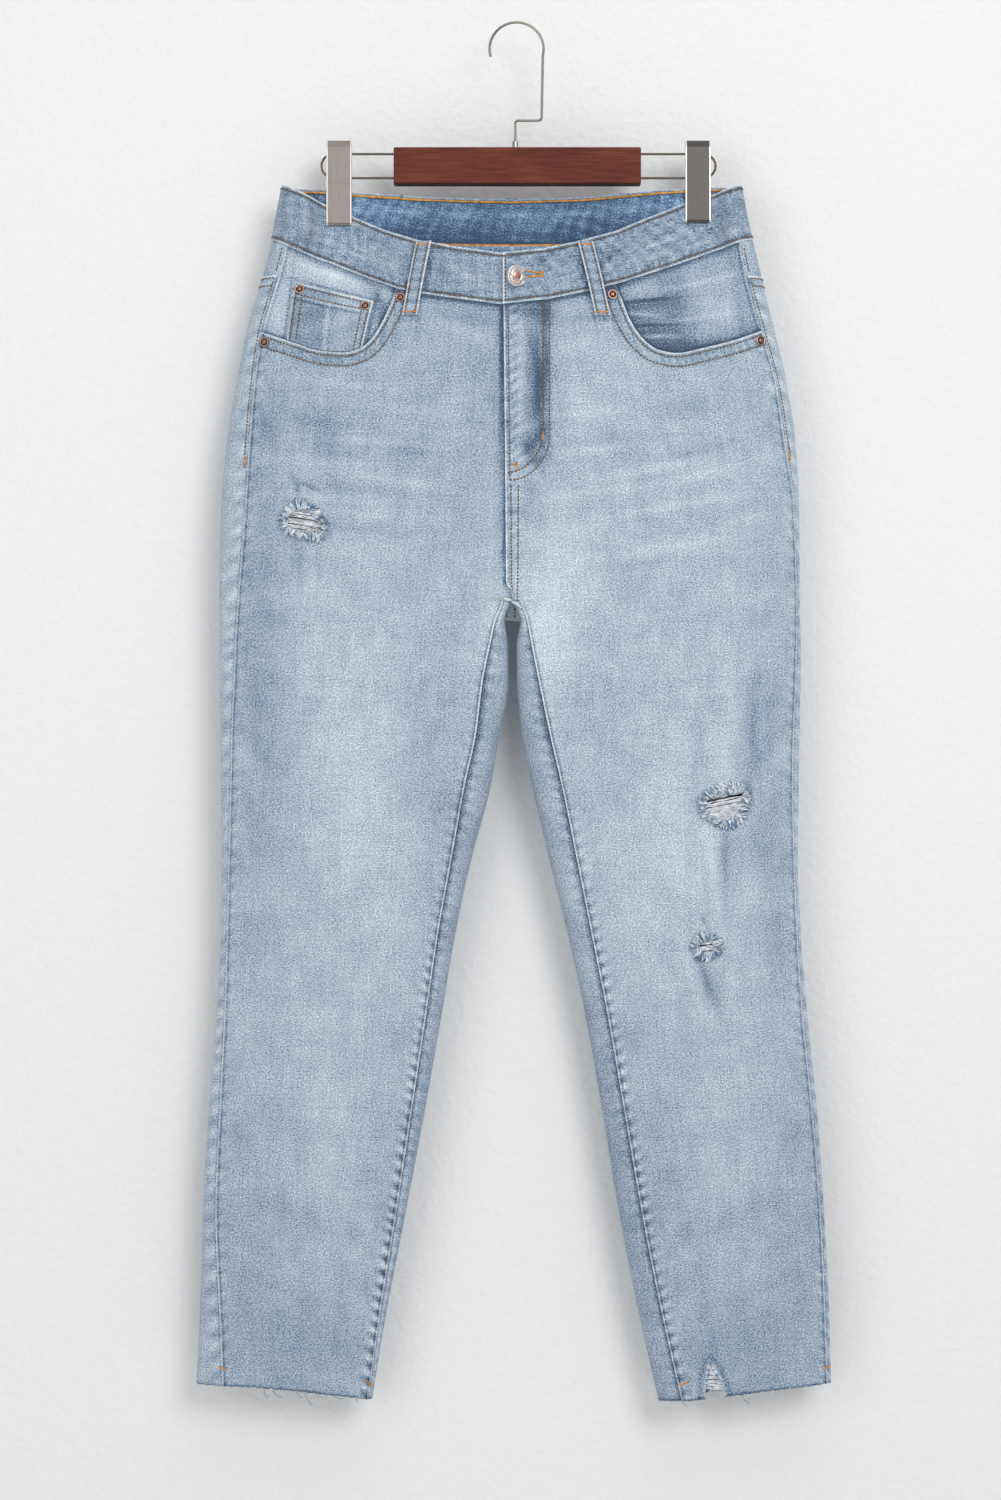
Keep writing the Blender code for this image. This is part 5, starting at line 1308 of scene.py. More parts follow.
def backPatch(side):
    share, part = np.meshgrid(np.linspace(0, 1, 56), np.linspace(0, 1, 56))
    rim = np.minimum(np.minimum(share, 1 - share) * 136, np.minimum(part, 1 - part) * 138)
    extra = -0.35 * bell(rim, 1.2) + 0.4 * ripple(part * 138 + share * 40, 46, 81)
    grid = backPocketPlace(side, share, part, extra)
    outward = backPocketPlace(side, share, part, extra + 1) - grid
    wash = 0.58 + 0.42 * bell(rim, 1.3) + 0.08 * ripple(share * 136 + part * 60, 37, 82)
    wash += 0.13 * ripple(part * 138 + share * 136, 7, 83) * bell(rim, 3.5, 5)
    wash -= 0.1 * bell(rim, 2.5, 9)
    name = f"back_pocket_{sideNames[side]}"
    return patch(name, grid, outward, wash, name)


pieces["coin"] = coinPocket()
for number in range(5):
    pieces[f"loop{number}"] = beltLoop(number)
for side in (-1, 1):
    pieces[f"backPocket{side}"] = backPatch(side)
print("pockets and belt loops made")


# Sewing.

def resampled(points, step):
    points = np.array(points, float)
    marks = marksAlong(points)
    at = np.linspace(0, marks[-1], max(2, int(marks[-1] / step) + 1))
    return np.stack([np.interp(at, marks, points[:, axis]) for axis in range(points.shape[1])], 1)


def linePath(face, points, extra=0.0):
    # x and down on a face, as places and outward directions
    line = resampled(points, 1.5)
    out = frontOut(line[:, 0], line[:, 1]) if face == "front" else 0.2
    return spot(face, line[:, 0], line[:, 1], out + extra), facing(face, line[:, 0], line[:, 1])


def offsetLine(line, away):
    heading = np.gradient(line, axis=0)
    heading = unitOf(heading)
    return line + np.stack((-heading[:, 1], heading[:, 0]), 1) * away


def sew(name, paths, stitch, material):
    # a small rounded stitch at every step along the paths, all in one mesh
    ringPlaces = np.array([(-0.5, 0.3, -0.2), (-0.3, 1.0, 0.75), (0.3, 1.0, 0.75), (0.5, 0.3, -0.2)])
    around = np.array([(1.0, 0.0), (0.0, 1.0), (-1.0, 0.0), (0.0, -0.6)])
    sides4 = [(k, (k + 1) % 4, 4 + (k + 1) % 4, 4 + k) for k in range(4)]
    rings = [[ring * 4 + corner for corner in corners] for ring in range(3) for corners in sides4]
    faces = np.array(rings + [[3, 2, 1, 0], [12, 13, 14, 15]])
    points, cells, count = [], [], 0
    local = np.random.default_rng(len(paths) + 17)
    for places, normals in paths:
        marks = marksAlong(places) * 1000
        at = np.arange(stitch["pitch"] / 2, marks[-1], stitch["pitch"])
        if not len(at):
            continue

        def sampleAt(values, marksAt):
            return np.stack([np.interp(marksAt, marks, values[:, axis]) for axis in range(3)], 1)

        centre = sampleAt(places, at)
        along3 = sampleAt(places, at + 0.8) - sampleAt(places, at - 0.8)
        along3 /= np.maximum(np.linalg.norm(along3, axis=1), 1e-12)[:, None]
        up = sampleAt(normals, at)
        up -= (up * along3).sum(1)[:, None] * along3
        up = unitOf(up)
        across = np.cross(up, along3)
        turn = local.normal(stitch.get("slant", 0.0), stitch.get("turn", 0.06), len(at))[:, None]
        along3, across = along3 + across * turn, across - along3 * turn
        for reach, wide, high in ringPlaces:
            for side2, lift in around:
                points.append(centre + (along3 * reach * stitch["length"]
                                        + across * side2 * wide * stitch["width"] / 2
                                        + up * (high * 0.4 + lift * wide * 0.6) * stitch["height"]) / 1000)
        cells.append((count, len(at)))
        count += 16 * len(at)
    stitched, offset, allFaces = [], 0, []
    start = 0
    for _, number in cells:
        block = np.stack(points[start:start + 16], 1).reshape(-1, 3)
        stitched.append(block)
        allFaces.append((faces[None, :, :] + 16 * np.arange(number)[:, None, None]).reshape(-1, 4) + offset)
        offset += 16 * number
        start += 16
    piece = addMesh(name, np.concatenate(stitched), np.concatenate(allFaces).tolist(), [material])
    piece.data.shade_smooth()
    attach(piece, "root")
    return piece


def sampleGrid(grid, rowAt, columnAt):
    rowAt = np.clip(rowAt, 0, grid.shape[0] - 1.001)
    columnAt = np.clip(columnAt, 0, grid.shape[1] - 1.001)
    row, column = rowAt.astype(int), columnAt.astype(int)
    dr, dc = (rowAt - row)[:, None], (columnAt - column)[:, None]
    upper = grid[row, column] * (1 - dc) + grid[row, column + 1] * dc
    lower = grid[row + 1, column] * (1 - dc) + grid[row + 1, column + 1] * dc
    return upper * (1 - dr) + lower * dr


def bandPath(fromTop, fromSeam, first, last, inside=False):
    # along the waistband, so far below its top or above its seam
    columnAt = np.arange(first, last, 0.5)
    near = np.clip(columnAt.astype(int), 0, bandGrid.shape[1] - 1)
    length = np.linalg.norm(bandGrid[-1, near] - bandGrid[0, near], axis=1) * 1000
    part = fromTop / length if fromTop is not None else 1 - fromSeam / length
    rowAt = np.interp(part, band["parts"], np.arange(len(band["parts"])))
    places = sampleGrid(bandGrid, rowAt, columnAt)
    normals = sampleGrid(bandOutward, rowAt, columnAt)
    normals = unitOf(normals)
    if inside:
        return places - normals * (body["wall"] + 0.15) / 1000, -normals
    return places + normals * 0.00005, normals


def laid(placer, out, *where):
    # places on a piece of cloth with the direction out of it, for sew()
    places = placer(*where, out)
    return places, (placer(*where, out + 1) - places) * 1000


stationCount = bandGrid.shape[1]
backFirst = 81
backLast = stationCount - 5 - 80
frontLines, backLines, seamLines, tacks = [], [], [], []
frontLines += [bandPath(2.9, None, 1, stationCount - 1.8), bandPath(None, 2.9, 1, stationCount - 1.8)]
chainLines = [bandPath(2.6, None, backFirst, backLast, True), bandPath(None, 2.2, backFirst, backLast, True)]
endColumn = stationCount - 2.9
rowsAt = np.linspace(3.6, len(band["parts"]) - 4.6, 60)
endPlaces = sampleGrid(bandGrid, rowsAt, np.full(60, endColumn))
endNormals = sampleGrid(bandOutward, rowsAt, np.full(60, endColumn))
frontLines.append((endPlaces, unitOf(endNormals)))

flySewing = {
    "outer": ((27.3, 232), (27.3, 342), (25.5, 352), (21, 361), (13, 370), (4, 375.2), (-6.2, 376.8)),
    "inner": ((22.1, 232.5), (22.1, 338), (20.8, 347), (17, 355), (10, 363.5), (2, 368.8), (-6.2, 370.7)),
    "below": (((-4.0, 380), (-3.6, 473)), ((2.2, 380), (1.8, 474))),
}
for key in ("outer", "inner"):
    smoothLine = np.stack([smoothCurve(range(7), axis, np.linspace(0, 6, 70)) for axis in zip(*flySewing[key])], 1)
    frontLines.append(linePath("front", resampled(smoothLine, 1.5)))
frontLines += [linePath("front", line) for line in flySewing["below"]]
edgeDowns = np.linspace(238, 378, 60)
frontLines.append(linePath("front", np.stack((flyX(edgeDowns) + 3.8, edgeDowns), 1)))
for side in (-1, 1):
    mouth = mouthLine(side, 100)
    for away in (3.0, 10.8):
        offset = offsetLine(mouth, side * away)
        start = along(band["frontSeam"], offset[:, 0]) + 0.5
        inside = (offset[:, 1] > start) & (np.abs(offset[:, 0]) < np.abs(edgeX(side, "seam", offset[:, 1])) - 1.5)
        frontLines.append(linePath("front", offset[inside]))
for share0, share1, part0, part1 in ((0.04, 0.96, 0.06, 0.06), (0.04, 0.96, 0.2, 0.2), (0.035, 0.035, 0.05, 0.98),
                                     (0.12, 0.12, 0.22, 0.98), (0.965, 0.965, 0.05, 0.98),
                                     (0.88, 0.88, 0.22, 0.98)):
    share, part = np.linspace(share0, share1, 40), np.linspace(part0, part1, 40)
    x, down = coinPlace(share, part)
    frontLines.append((spot("front", x, down, coin["out"] + 0.05), facing("front", x, down)))
for number, (face, *_) in enumerate(loops["places"]):
    for share0 in (0.17, 0.83):
        part = np.linspace(0.03, 0.97, 50)
        edge = laid(loopPlace, 0.05, number, np.full(50, share0), part)
        (frontLines if face == "front" else backLines).append(edge)
    for part0 in (0.045, 0.955):
        share = np.linspace(0.1, 0.9, 20)
        tacks.append(laid(loopPlace, 0.1, number, share, np.full(20, part0)))

for side in (-1, 1):
    shares = np.linspace(0.01, 1.0, 260)
    for below in (1.9, 8.2):
        down = np.interp(shares, *zip(*yokeSeam)) + below - 1
        first = seamShare(side, down)
        at = first + (2.0 - first) * shares
        backLines.append(laid(place, 0.45, side, down, at))
    for share0 in (2.0, 8.0):
        edge = share0 / 138
        for points in (((edge, 0.0), (edge, 1 - edge)), ((1 - edge, 0.0), (1 - edge, 1 - edge)),
                       ((edge, 1 - edge), (1 - edge, 1 - edge))):
            share, part = (np.linspace(points[0][axis], points[1][axis], 120) for axis in (0, 1))
            backLines.append(laid(backPocketPlace, 0.05, side, share, part))
    for part0 in (3.0, 13.0):
        share = np.linspace(0.01, 0.99, 120)
        backLines.append(laid(backPocketPlace, 0.05, side, share, np.full(120, part0 / 140)))
    # beside the side seam as far as its tack, on the back panel and the yoke, and then only sunk in the seam
    for first, last, away, lines in ((186, 206, 2.6, frontLines), (213, 356, 2.6, frontLines),
                                     (366, 1108, 1.3, seamLines)):
        down = np.linspace(first, last, int(last - first))
        at = seamShare(side, down) + away / faceLength(side, down)
        places = place(side, down, at, 0.1 if away > 2 else -0.6)
        outer = place(side, down, at, 1.1) - places
        lines.append((places, outer * 1000))
    down = np.linspace(492, 1112, 420)
    at = innerShare(side, down) + 1.9 / faceLength(side, down)
    seamLines.append(laid(place, 0.2, side, down, at))
for x in (2.0, 8.0):
    backLines.append(linePath("back", ((body["centre"] + x, 186), (body["centre"] + x, 470))))

buttonhole = (((8.6, 207.6), (20.6, 209.8)), ((8.6, 213.0), (20.6, 211.4)), ((21.2, 207.6), (21.4, 212.8)))
tackSpots = (
    ((22.1, 337), (22.0, 344)), ((-5.2, 363.6), (1.0, 363.6)), ((0.8, 361.6), (0.8, 368.4)),
    ((-220.6, 356.5), (-220.9, 365.5)), ((223.4, 351.5), (223.9, 360.0)),
    ((-242.4, 1099.5), (-236.6, 1101.0)), ((-122.6, 1111.0), (-118.0, 1116.0)),
    ((134.4, 1114.2), (141.6, 1111.0)), ((252.0, 1101.5), (257.0, 1100.0)),
)
tacks += [linePath("front", ends, 0.55) for ends in buttonhole] + [linePath("front", ends, 0.1) for ends in tackSpots]

stitches = {
    "topstitch": {"pitch": 2.9, "length": 2.3, "width": 1.15, "height": 0.65},
    "seamStitch": {"pitch": 2.8, "length": 1.7, "width": 0.6, "height": 0.4},
    "chain": {"pitch": 1.9, "length": 3.2, "width": 1.7, "height": 0.8, "slant": 0.4},
    "tack": {"pitch": 0.42, "length": 1.7, "width": 0.5, "height": 0.6, "turn": 0.12},
}


def turnedAcross(paths):
    # a bar tack's threads lie across its line
    turned = []
    for places, normals in paths:
        line = resampled(places * 1000, stitches["tack"]["pitch"]) / 1000
        along3 = np.gradient(line, axis=0)
        along3 = unitOf(along3)
        up = np.stack([np.interp(np.linspace(0, 1, len(line)), np.linspace(0, 1, len(normals)), normals[:, axis])
                       for axis in range(3)], 1)
        across = np.cross(up, along3)
        across = unitOf(across)
        for centre, sideways, normal in zip(line, across, up):
            pair = np.stack((centre - sideways * 0.0001, centre + sideways * 0.0001))
            turned.append((pair, np.stack((normal,) * 2)))
    return turned


sew("topstitch_front", frontLines, stitches["topstitch"], finish["tanThread"])
sew("topstitch_back", backLines, stitches["topstitch"], finish["tanThread"])
# dark grey: thread and the painted shade of the seams' grooves together
sew("seam_stitch", seamLines, stitches["seamStitch"], finish["shadedSeamThread"])
sew("chain_stitch", chainLines, stitches["chain"], finish["goldThread"])
tackStitch = dict(stitches["tack"], pitch=0.2)
sew("bar_tacks", turnedAcross(tacks), tackStitch, finish["tackThread"])
print("sewing done")


# Worn holes, frayed edges and loose threads.

def strands(name, lines, radii, material, sides=3, slotName="thread"):
    # round threads, one along each row of points, all in one mesh
    lines, radii = np.asarray(lines, float), np.asarray(radii, float)
    heading = np.gradient(lines, axis=1)
    heading /= np.maximum(np.linalg.norm(heading, axis=2), 1e-12)[..., None]
    first = np.cross(heading, np.array((0.13, 0.25, 0.96)))
    first /= np.maximum(np.linalg.norm(first, axis=2), 1e-12)[..., None]
    second = np.cross(heading, first)
    angle = 2 * np.pi * np.arange(sides) / sides
    ring = (first[:, :, None] * np.cos(angle)[None, None, :, None]
            + second[:, :, None] * np.sin(angle)[None, None, :, None])
    taper = np.ones(lines.shape[1])
    taper[-1] = 0.5
    points = lines[:, :, None] + ring * (radii / 1000)[:, None, None, None] * taper[None, :, None, None]
    index = np.arange(points.size // 3).reshape(points.shape[:3])
    turned = np.roll(index, -1, axis=2)
    sheath = np.stack((index[:, :-1], turned[:, :-1], turned[:, 1:], index[:, 1:]), -1).reshape(-1, 4)
    faces = sheath.tolist() + index[:, 0, ::-1].tolist() + index[:, -1].tolist()
    piece = addMesh(name, points.reshape(-1, 3), faces, [material])
    piece.data.shade_smooth()
    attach(piece, "root")
    return piece


def outSpot(x, down, out):
    return spot("front", x, down, frontOut(x, down) - 0.15 + out)


def crossings(outline, level, slant, middle):
    # where a slanted line at a level crosses the outline
    found = []
    points = [(x, down - slant * (x - middle)) for x, down in outline]
    for (ax, ay), (bx, by) in zip(points, points[1:] + points[:1]):
        if (ay > level) != (by > level):
            found.append(ax + (level - ay) / (by - ay) * (bx - ax))
    return sorted(found)


ripFills = (
    # side, which outline, slant of its threads, lowest level, share of threads missing
    (-1, 0, 0.16, 1200, 0.05), (1, 0, -0.2, 1200, 0.05), (1, 1, -0.1, 1200, 0.04), (1, 2, 0.03, 1117.4, 0.0),
)
fills = {"weftThread": ([], []), "darkThread": ([], [])}
for side, which, slant, lowest, missing in ripFills:
    outline = rips[side][which]
    xs, downs = zip(*outline)
    middle = sum(xs) / len(xs)
    for level in np.arange(min(downs) - 3, min(max(downs) + 4, lowest), 0.5):
        found = crossings(outline, level, slant, middle)
        if len(found) < 2 or chance.random() < missing:
            continue
        dark = chance.random() < 0.2
        x = np.linspace(found[0] - 1.5, found[-1] + 1.5, 9)
        if dark:   # only part of the way
            x = x[0] + (x[-1] - x[0]) * (chance.uniform(0, 0.5) + np.linspace(0, chance.uniform(0.25, 0.5), 9))
        wave = chance.normal(0, 0.2, 9)
        wave[[0, -1]] = 0
        down = level + slant * (x - middle) + wave + chance.uniform(-0.25, 0.25)
        kind = "darkThread" if dark else "weftThread"
        fills[kind][0].append(outSpot(x, down, -0.5 + 0.2 * dark + chance.normal(0, 0.15, 9)))
        fills[kind][1].append(chance.uniform(0.2, 0.3) if dark else chance.uniform(0.3, 0.42))


def edgeWalk(outline, step):
    # places round an outline with the direction away from the hole
    closed = np.array(list(outline) + [outline[0]], float)
    line = resampled(closed, step)
    heading = np.gradient(line, axis=0)
    heading = unitOf(heading)
    away = np.stack((heading[:, 1], -heading[:, 0]), 1)
    inside, _ = inOutline(outline, line[:, 0] + away[:, 0], line[:, 1] + away[:, 1])
    away[inside > 0] *= -1
    return line, away


tuftLines = {"pale": [], "blue": []}
tuftRadii = {"pale": [], "blue": []}
tufts = (
    # side, which outline, longest tuft above, beside and below the hole
    (-1, 0, 9.5, 4.6, 8.5), (1, 0, 12.5, 6.5, 9.0), (1, 1, 9.5, 7.5, 9.5), (1, 2, 2.4, 2.0, 0.0),
)
for side, which, above, beside, below in tufts:
    line, away = edgeWalk(rips[side][which], 0.5)
    at = 0.0
    while at < len(line):
        (x0, down0), (awayX, awayDown) = line[int(at)], away[int(at)]
        short = chance.random() < 0.35
        at += chance.uniform(2.6, 5.4)
        if down0 > 1114:
            continue
        longest = beside + (above - beside) * max(-awayDown, 0) + (below - beside) * max(awayDown, 0)
        size = longest * (chance.uniform(0.3, 0.5) if short else chance.uniform(0.6, 1.0))
        lean = chance.normal(0, 0.55)
        headX = awayX * math.cos(lean) - awayDown * math.sin(lean)
        headDown = awayX * math.sin(lean) + awayDown * math.cos(lean)
        bulge = chance.uniform(1.4, 2.8) * min(size / 4, 1.2)
        wide, fan = chance.uniform(0.5, 1.0), chance.uniform(0.08, 0.25)
        paleShare = chance.uniform(0.35, 0.9)
        for _ in range(int(9 + 2.0 * size)):
            part = np.linspace(0, 1, 7)
            reach = -1.2 + (1.2 + size * chance.uniform(0.55, 1.0)) * np.sin(part * 1.4) / math.sin(1.4)
            sideways = chance.normal(0, wide) + chance.normal(0, fan) * reach
            sideways = sideways + np.sin(part * 4.5 + x0) * 0.35 + np.sin(part * 3) * chance.normal(0, 0.3)
            x = x0 + headX * reach - headDown * sideways
            down = down0 + headDown * reach + headX * sideways
            out = -0.3 + (0.6 + bulge * chance.uniform(0.3, 1.2)) * np.sin(part * np.pi * 0.85)
            key = "pale" if chance.random() < paleShare else "blue"
            tuftLines[key].append(outSpot(x, down, out))
            tuftRadii[key].append(chance.uniform(0.26, 0.46))


hemThreads = {"pitch": 0.75, "lowest": 1131.5, "strayLowest": 1132.5, "notch": (154.5, 171)}


def hemLevel(side, x):
    return along(body["hems"][side], x)


for side in (-1, 1):
    low, high = sorted((float(edgeX(side, "inner", 1120)), float(edgeX(side, "outer", 1115))))
    for face in ("front", "back"):
        for x0 in np.arange(low + 2, high - 2, hemThreads["pitch"]):
            if side == 1 and face == "front" and hemThreads["notch"][0] < x0 < hemThreads["notch"][1]:
                continue
            reach = chance.uniform(0.4, 1.5)
            part = np.linspace(0, 1, 7)
            x = x0 + part * chance.normal(0, 0.8) + np.sin(part * 3) * chance.normal(0, 0.3)
            down = np.minimum(hemLevel(side, x0) - 0.6 + part * reach, hemThreads["lowest"])
            out = -0.5 + part * chance.normal(0.3, 0.5)
            key = "pale" if chance.random() < 0.12 else "blue"
            tuftLines[key].append(spot(face, x, down, out))
            tuftRadii[key].append(chance.uniform(0.13, 0.22))

# the longer stray threads below the hems: x, reach, sideways drift
strays = (
    (-213, 4, 3), (-209, 6, -2), (-205, 9, 4), (-199, 5, -3), (-197, 8, 6), (-190, 4, -5), (-178, 7, 4),
    (-171, 12, 5), (-167, 6, -6), (-158, 5, 3), (-152, 8, -3), (-147, 4, 6), (-141, 7, 3), (-135, 10, -2),
    (-131, 5, 4), (-127, 9, 2), (124, 6, 2), (130, 9, -3), (136, 5, 4), (186, 9, 5), (191, 6, -6), (200, 4, 3),
    (210, 8, -4), (236, 4, 3),
)
for x0, reach, drift in strays:
    side = -1 if x0 < 0 else 1
    part = np.linspace(0, 1, 7)
    x = x0 + part ** 2 * drift + np.sin(part * 4 + x0) * 0.8
    down = hemLevel(side, x0) - 1.0 + np.sin(part * 1.5) * reach * 0.95
    key = "blue" if drift > 3 else "pale"
    tuftLines[key].append(spot("front", x, np.minimum(down, hemThreads["strayLowest"]), -0.2 + part * 0.6))
    tuftRadii[key].append(0.27)
for kind, pieceName in (("weftThread", "worn_hole_threads"), ("darkThread", "worn_hole_dark_threads")):
    strands(pieceName, *fills[kind], finish[kind], 5)
strands("frayed_threads_pale", tuftLines["pale"], tuftRadii["pale"], finish["paleThread"])
strands("frayed_threads_blue", tuftLines["blue"], tuftRadii["blue"], finish["blueThread"])

# the rolled seam across the crotch
rollX = np.linspace(-9.6, 5.0, 9)
rollDown = np.interp(rollX, (-9.6, -4, 1, 5.0), (472.6, 473.6, 476.4, 480.0))
roll = spot("front", rollX, np.full(9, 473.0), 0.9)
roll[:, 2] = -rollDown / 1000
rolled = strands("crotch_seam", [roll], [1.25], finish["outside"], 10, "denim")
rolled.data.uv_layers.new(name="cloth")
rolled.data.attributes.new("wash", "FLOAT", "POINT").data.foreach_set(
    "value", np.full(len(rolled.data.vertices), 0.95, np.float32))

# the back rise, which shows under that seam between the legs
share, part = np.meshgrid(np.linspace(0, 1, 16), np.linspace(0, 1, 16))
riseX, riseDown = -11.4 + 16.8 * share, 474.5 + (14.2 + 1.6 * share) * part
riseGrid = np.stack((riseX, 4.0 + 7.0 * part, -riseDown), -1) / 1000
riseOut = np.zeros_like(riseGrid)
riseOut[..., 1] = -1
# much paler than the cloth: painted light that makes up for the shade it hangs in; and a pale worn lower edge
riseWashAndLight = 0.95 + 0.4 * bell((1 - part) * 15, 1.3) + 0.2 * ripple(riseX * 2 + riseDown, 7, 91)
patch("back_rise_patch", riseGrid, riseOut, riseWashAndLight, [])
riseLines = []
for x in (-7.4, -0.6):
    down = np.linspace(479, 488, 12)
    riseLines.append((np.stack((np.full(12, x), 4.0 + 7.0 * (down - 474.5) / 15 - 0.1, -down), 1) / 1000,
                      np.tile((0.0, -1.0, 0.0), (12, 1))))
sew("crotch_stitch", riseLines, stitches["topstitch"], finish["tanThread"])
print("frayed threads made")


# Button and rivets.

def startDisc(name, centre, axis, radius, low, high, sides, materials):
    bpy.ops.object.select_all(action="DESELECT")
    axis = Vector(axis).normalized()
    middle = Vector(centre) + axis * (low + high) / 2000
    bpy.ops.mesh.primitive_cylinder_add(vertices=sides, radius=radius / 1000, depth=(high - low) / 1000,
                                        location=middle,
                                        rotation=Vector((0, 0, 1)).rotation_difference(axis).to_euler())
    piece = bpy.context.object
    bpy.ops.object.transform_apply(location=True, rotation=True, scale=True)
    piece.name = name
    for material in materials:
        piece.data.materials.append(material)
    return piece, axis


def chooseFaces(piece, test):
    bpy.ops.object.mode_set(mode="EDIT")
    bpy.ops.mesh.select_mode(type="FACE")
    bpy.ops.mesh.select_all(action="DESELECT")
    bpy.ops.object.mode_set(mode="OBJECT")
    for face in piece.data.polygons:
        face.select = test(face)
    bpy.ops.object.mode_set(mode="EDIT")


def stepIn(piece, steps):
    # each step goes in towards the middle and up, and sets the metal of what is left inside it
    for inward, upward, metal in steps:
        bpy.ops.mesh.inset(thickness=inward / 1000, depth=upward / 1000)
        piece.active_material_index = metal
        bpy.ops.object.material_slot_assign()
    bpy.ops.object.mode_set(mode="OBJECT")


def finishTrim(piece, replaces):
    bpy.ops.object.select_all(action="DESELECT")
    piece.select_set(True)
    bpy.context.view_layer.objects.active = piece
    bpy.ops.object.shade_smooth_by_angle(angle=math.radians(50))
    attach(piece, "root")
    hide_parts(replaces)


def trimSeat(x, down, lift):
    # a place on the front, and the direction out of the cloth there
    x, down = np.array([x]), np.array([down])
    return spot("front", x, down, lift)[0], Vector(facing("front", x, down)[0])


rivets = {
    "places": ((-93.8, 228.0), (-204.6, 263.6), (78.6, 226.0), (199.5, 262.4), (-176.4, 220.0), (-122.6, 234.8)),
    "radius": 4.25, "sides": 20,
    "steps": ((0.3, 0.28, 0), (0.75, 0.12, 0), (0.4, -0.32, 1), (0.5, -0.05, 1), (0.3, 0.34, 2), (0.5, 0.3, 2),
              (0.6, 0.12, 2)),
}
for number, (x, down) in enumerate(rivets["places"]):
    lift = coin["out"] + 0.1 if number >= 4 else float(frontOut(x, down))
    centre, axis = trimSeat(x, down, lift)
    rivet, up = startDisc(f"rivet_look_{number + 1}", centre, axis, rivets["radius"], 0.05, 0.65, rivets["sides"],
                          [finish["agedCopper"], finish["darkCopper"], finish["rivetPoint"]])
    chooseFaces(rivet, lambda face: face.normal.dot(up) > 0.9)
    stepIn(rivet, rivets["steps"])
    finishTrim(rivet, f"rivet_{number + 1}")

buttonAt = {"x": -0.6, "down": 212.0, "radius": 8.8, "sides": 40, "tilt": 31}
centre, axis = trimSeat(buttonAt["x"], buttonAt["down"], body["layer"] + 0.55)
axis.rotate(Quaternion((0, 0, 1), math.radians(buttonAt["tilt"])))   # the buttonhole pulls it round
button, up = startDisc("button_look", centre, axis, buttonAt["radius"], 1.3, 3.1, buttonAt["sides"],
                       [finish["brushedSilver"], finish["roseCopper"]])
chooseFaces(button, lambda face: face.normal.dot(up) < -0.9)
stepIn(button, ((0.6, 0.25, 0), (3.6, 0.05, 0), (0.05, 1.2, 0)))
chooseFaces(button, lambda face: face.normal.dot(up) > 0.9)
stepIn(button, ((0.35, 0.5, 0), (0.4, 0.2, 0), (0.5, -0.3, 1), (0.25, -0.05, 0), (2.1, 0.0, 1), (0.25, 0.28, 0),
                (0.55, 0.0, 1), (0.25, -0.28, 0), (0.8, 0.0, 1), (0.3, 0.25, 1), (0.6, 0.22, 1)))


def isPip(face):
    # every second field of the ring between the rim and the middle
    spoke = Vector(face.center) - Vector(centre)
    spoke -= up * spoke.dot(up)
    turn = math.atan2(spoke.z, spoke.x) / (2 * math.pi) * buttonAt["sides"]
    return 5.3 < spoke.length * 1000 < 6.8 and face.normal.dot(up) > 0.95 and math.floor(turn) % 2 == 0


chooseFaces(button, isPip)
bpy.ops.mesh.inset(thickness=0.00024, depth=0.00022, use_individual=True)
button.active_material_index = 1
bpy.ops.object.material_slot_assign()
bpy.ops.object.mode_set(mode="OBJECT")
finishTrim(button, "button")
print("button and rivets made")


# Finishes of the hanger, whose solids stay as they are.

hangerLooks = {
    "satinNickel": ("hook", "ferrule"), "wood": ("bar",),
    "dullWire": ("wire_loop_right", "wire_loop_left", "clip_spacer_right", "clip_spacer_left"),
    "clipRightLit": ("clip_front_right", "clip_back_right"), "clipLeftShaded": ("clip_front_left", "clip_back_left"),
}
for look, nodeNames in hangerLooks.items():
    for nodeName in nodeNames:
        for materialSlot in bpy.data.objects[nodeName].material_slots:
            materialSlot.material = finish[look]
print("hanger finished")


# Stage, light, camera.

room = {"wallY": 0.042, "floorZ": -1.42, "wallTone": (232, 232, 232), "floorTone": (230, 230, 230)}


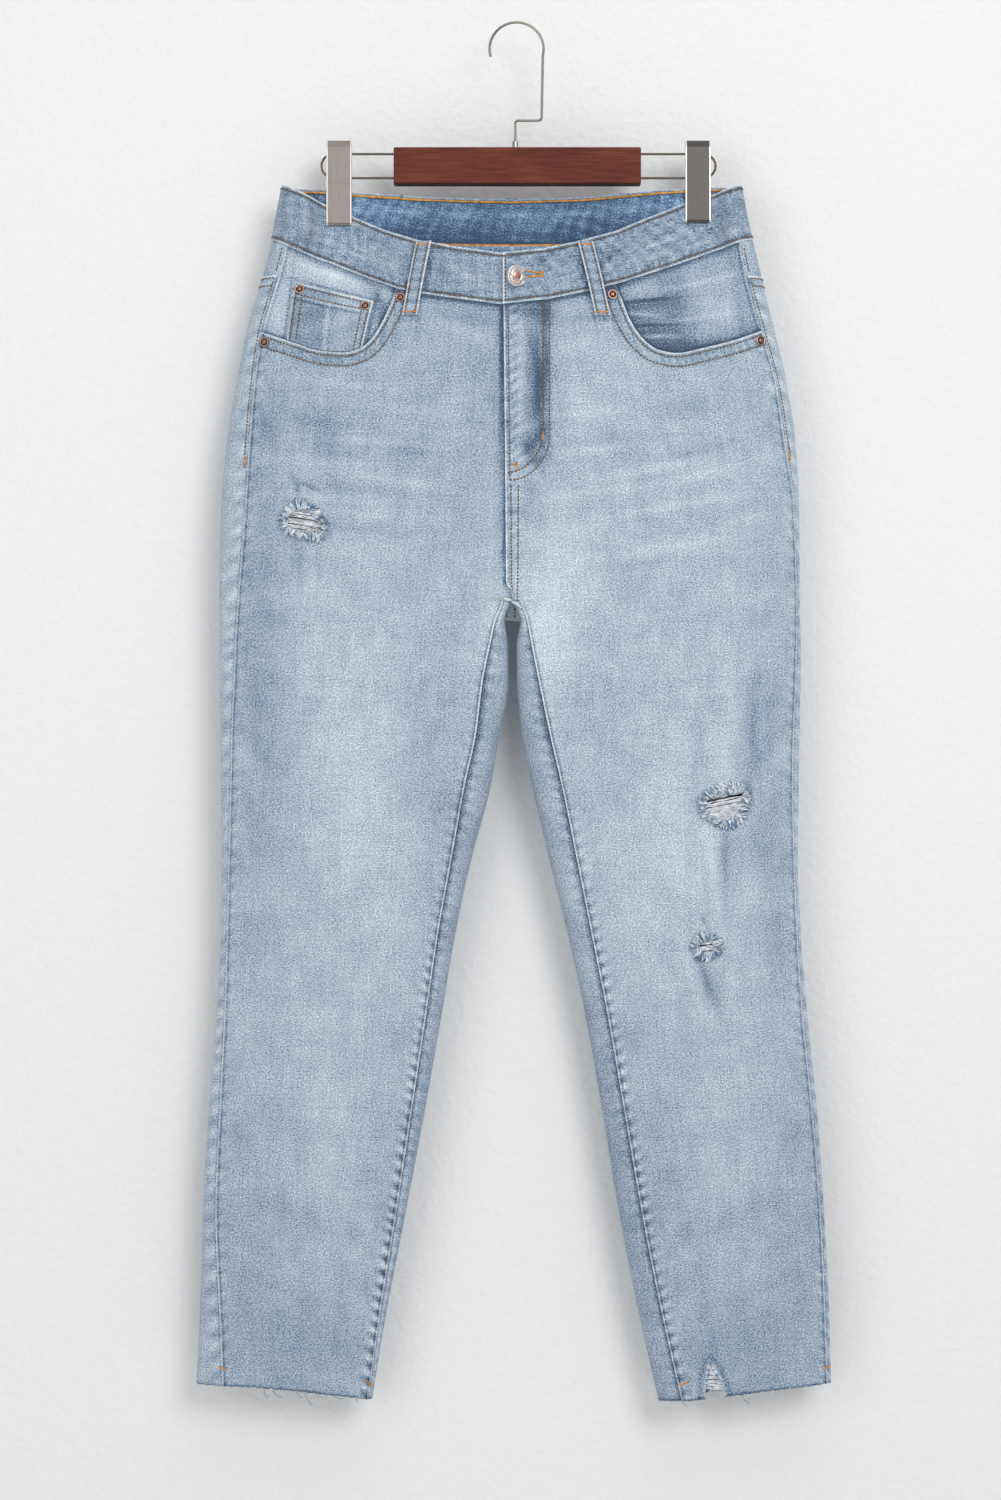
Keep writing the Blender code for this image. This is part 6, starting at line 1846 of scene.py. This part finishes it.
def stagePlane(name, corners, tone, seeThroughBehind):
    piece = addMesh(name, corners, [(0, 1, 2, 3)], [])
    material, shader = newMaterial(name, 0.95)
    plaster = noiseAt(material, onPiece(material), 150, None, 4.0, -800, 0, 0.5)
    roughen(material, shader, plaster, 0.7, 0.0022)
    shader.inputs["Base Color"].default_value = linear(tone)
    if seeThroughBehind:
        output = material.node_tree.nodes["Material Output"]
        clear = addNode(material, "ShaderNodeBsdfTransparent", 100, -300)
        mix = addNode(material, "ShaderNodeMixShader", 300, 0)
        geometry = addNode(material, "ShaderNodeNewGeometry", 100, 200)
        link(material, geometry.outputs["Backfacing"], mix.inputs["Fac"])
        link(material, shader.outputs["BSDF"], mix.inputs[1])
        link(material, clear.outputs["BSDF"], mix.inputs[2])
        link(material, mix.outputs["Shader"], output.inputs["Surface"])
    piece.data.materials.append(material)
    piece.visible_shadow = not seeThroughBehind   # the lamps behind the wall reach the cloth's back
    return piece


wallY, floorZ = room["wallY"], room["floorZ"]
stagePlane("backWall", [(-4, wallY, floorZ), (4, wallY, floorZ), (4, wallY, 3), (-4, wallY, 3)],
           room["wallTone"], True)
stagePlane("floor", [(-6, -6, floorZ), (6, -6, floorZ), (6, 6, floorZ), (-6, 6, floorZ)], room["floorTone"], False)

lamps = (
    # name, place, aim, size, power
    ("key", (1.1, -2.9, 0.7), (0.0, 0.0, -0.55), 1.5, 44),
    ("fill", (-1.8, -2.9, -0.2), (0.0, 0.0, -0.6), 2.4, 24),
    ("top", (0.2, -1.3, 1.7), (0.0, 0.0, -0.5), 1.8, 10),
    ("backLeft", (-1.6, 2.4, 0.6), (0.0, 0.0, -0.6), 1.6, 7),
    ("backRight", (1.8, 2.2, 0.2), (0.0, 0.0, -0.6), 1.6, 6),
)
for name, spotAt, aim, size, power in lamps:
    lamp = bpy.data.lights.new(name, "AREA")
    lamp.shape, lamp.size, lamp.energy = "DISK", size, power
    holder = bpy.data.objects.new(name, lamp)
    holder.location = spotAt
    holder.rotation_euler = (Vector(aim) - Vector(spotAt)).to_track_quat("-Z", "Y").to_euler()
    bpy.context.scene.collection.objects.link(holder)
world = bpy.data.worlds.new("studio")
world.use_nodes = True
world.node_tree.nodes["Background"].inputs["Color"].default_value = (1.0, 1.0, 1.0, 1.0)
world.node_tree.nodes["Background"].inputs["Strength"].default_value = 0.42
bpy.context.scene.world = world
bpy.context.scene.view_settings.view_transform = "Standard"

view = {"place": (-0.01238, -2.4, -0.5957), "lens": 70.24}
camera = bpy.data.objects.new("camera", bpy.data.cameras.new("camera"))
camera.data.lens = view["lens"]
camera.data.sensor_width = 36
camera.location = view["place"]
camera.rotation_euler = (math.radians(90), 0, 0)
camera.data.clip_end = 40
bpy.context.scene.collection.objects.link(camera)
bpy.context.scene.camera = camera
print("stage, light and camera set")
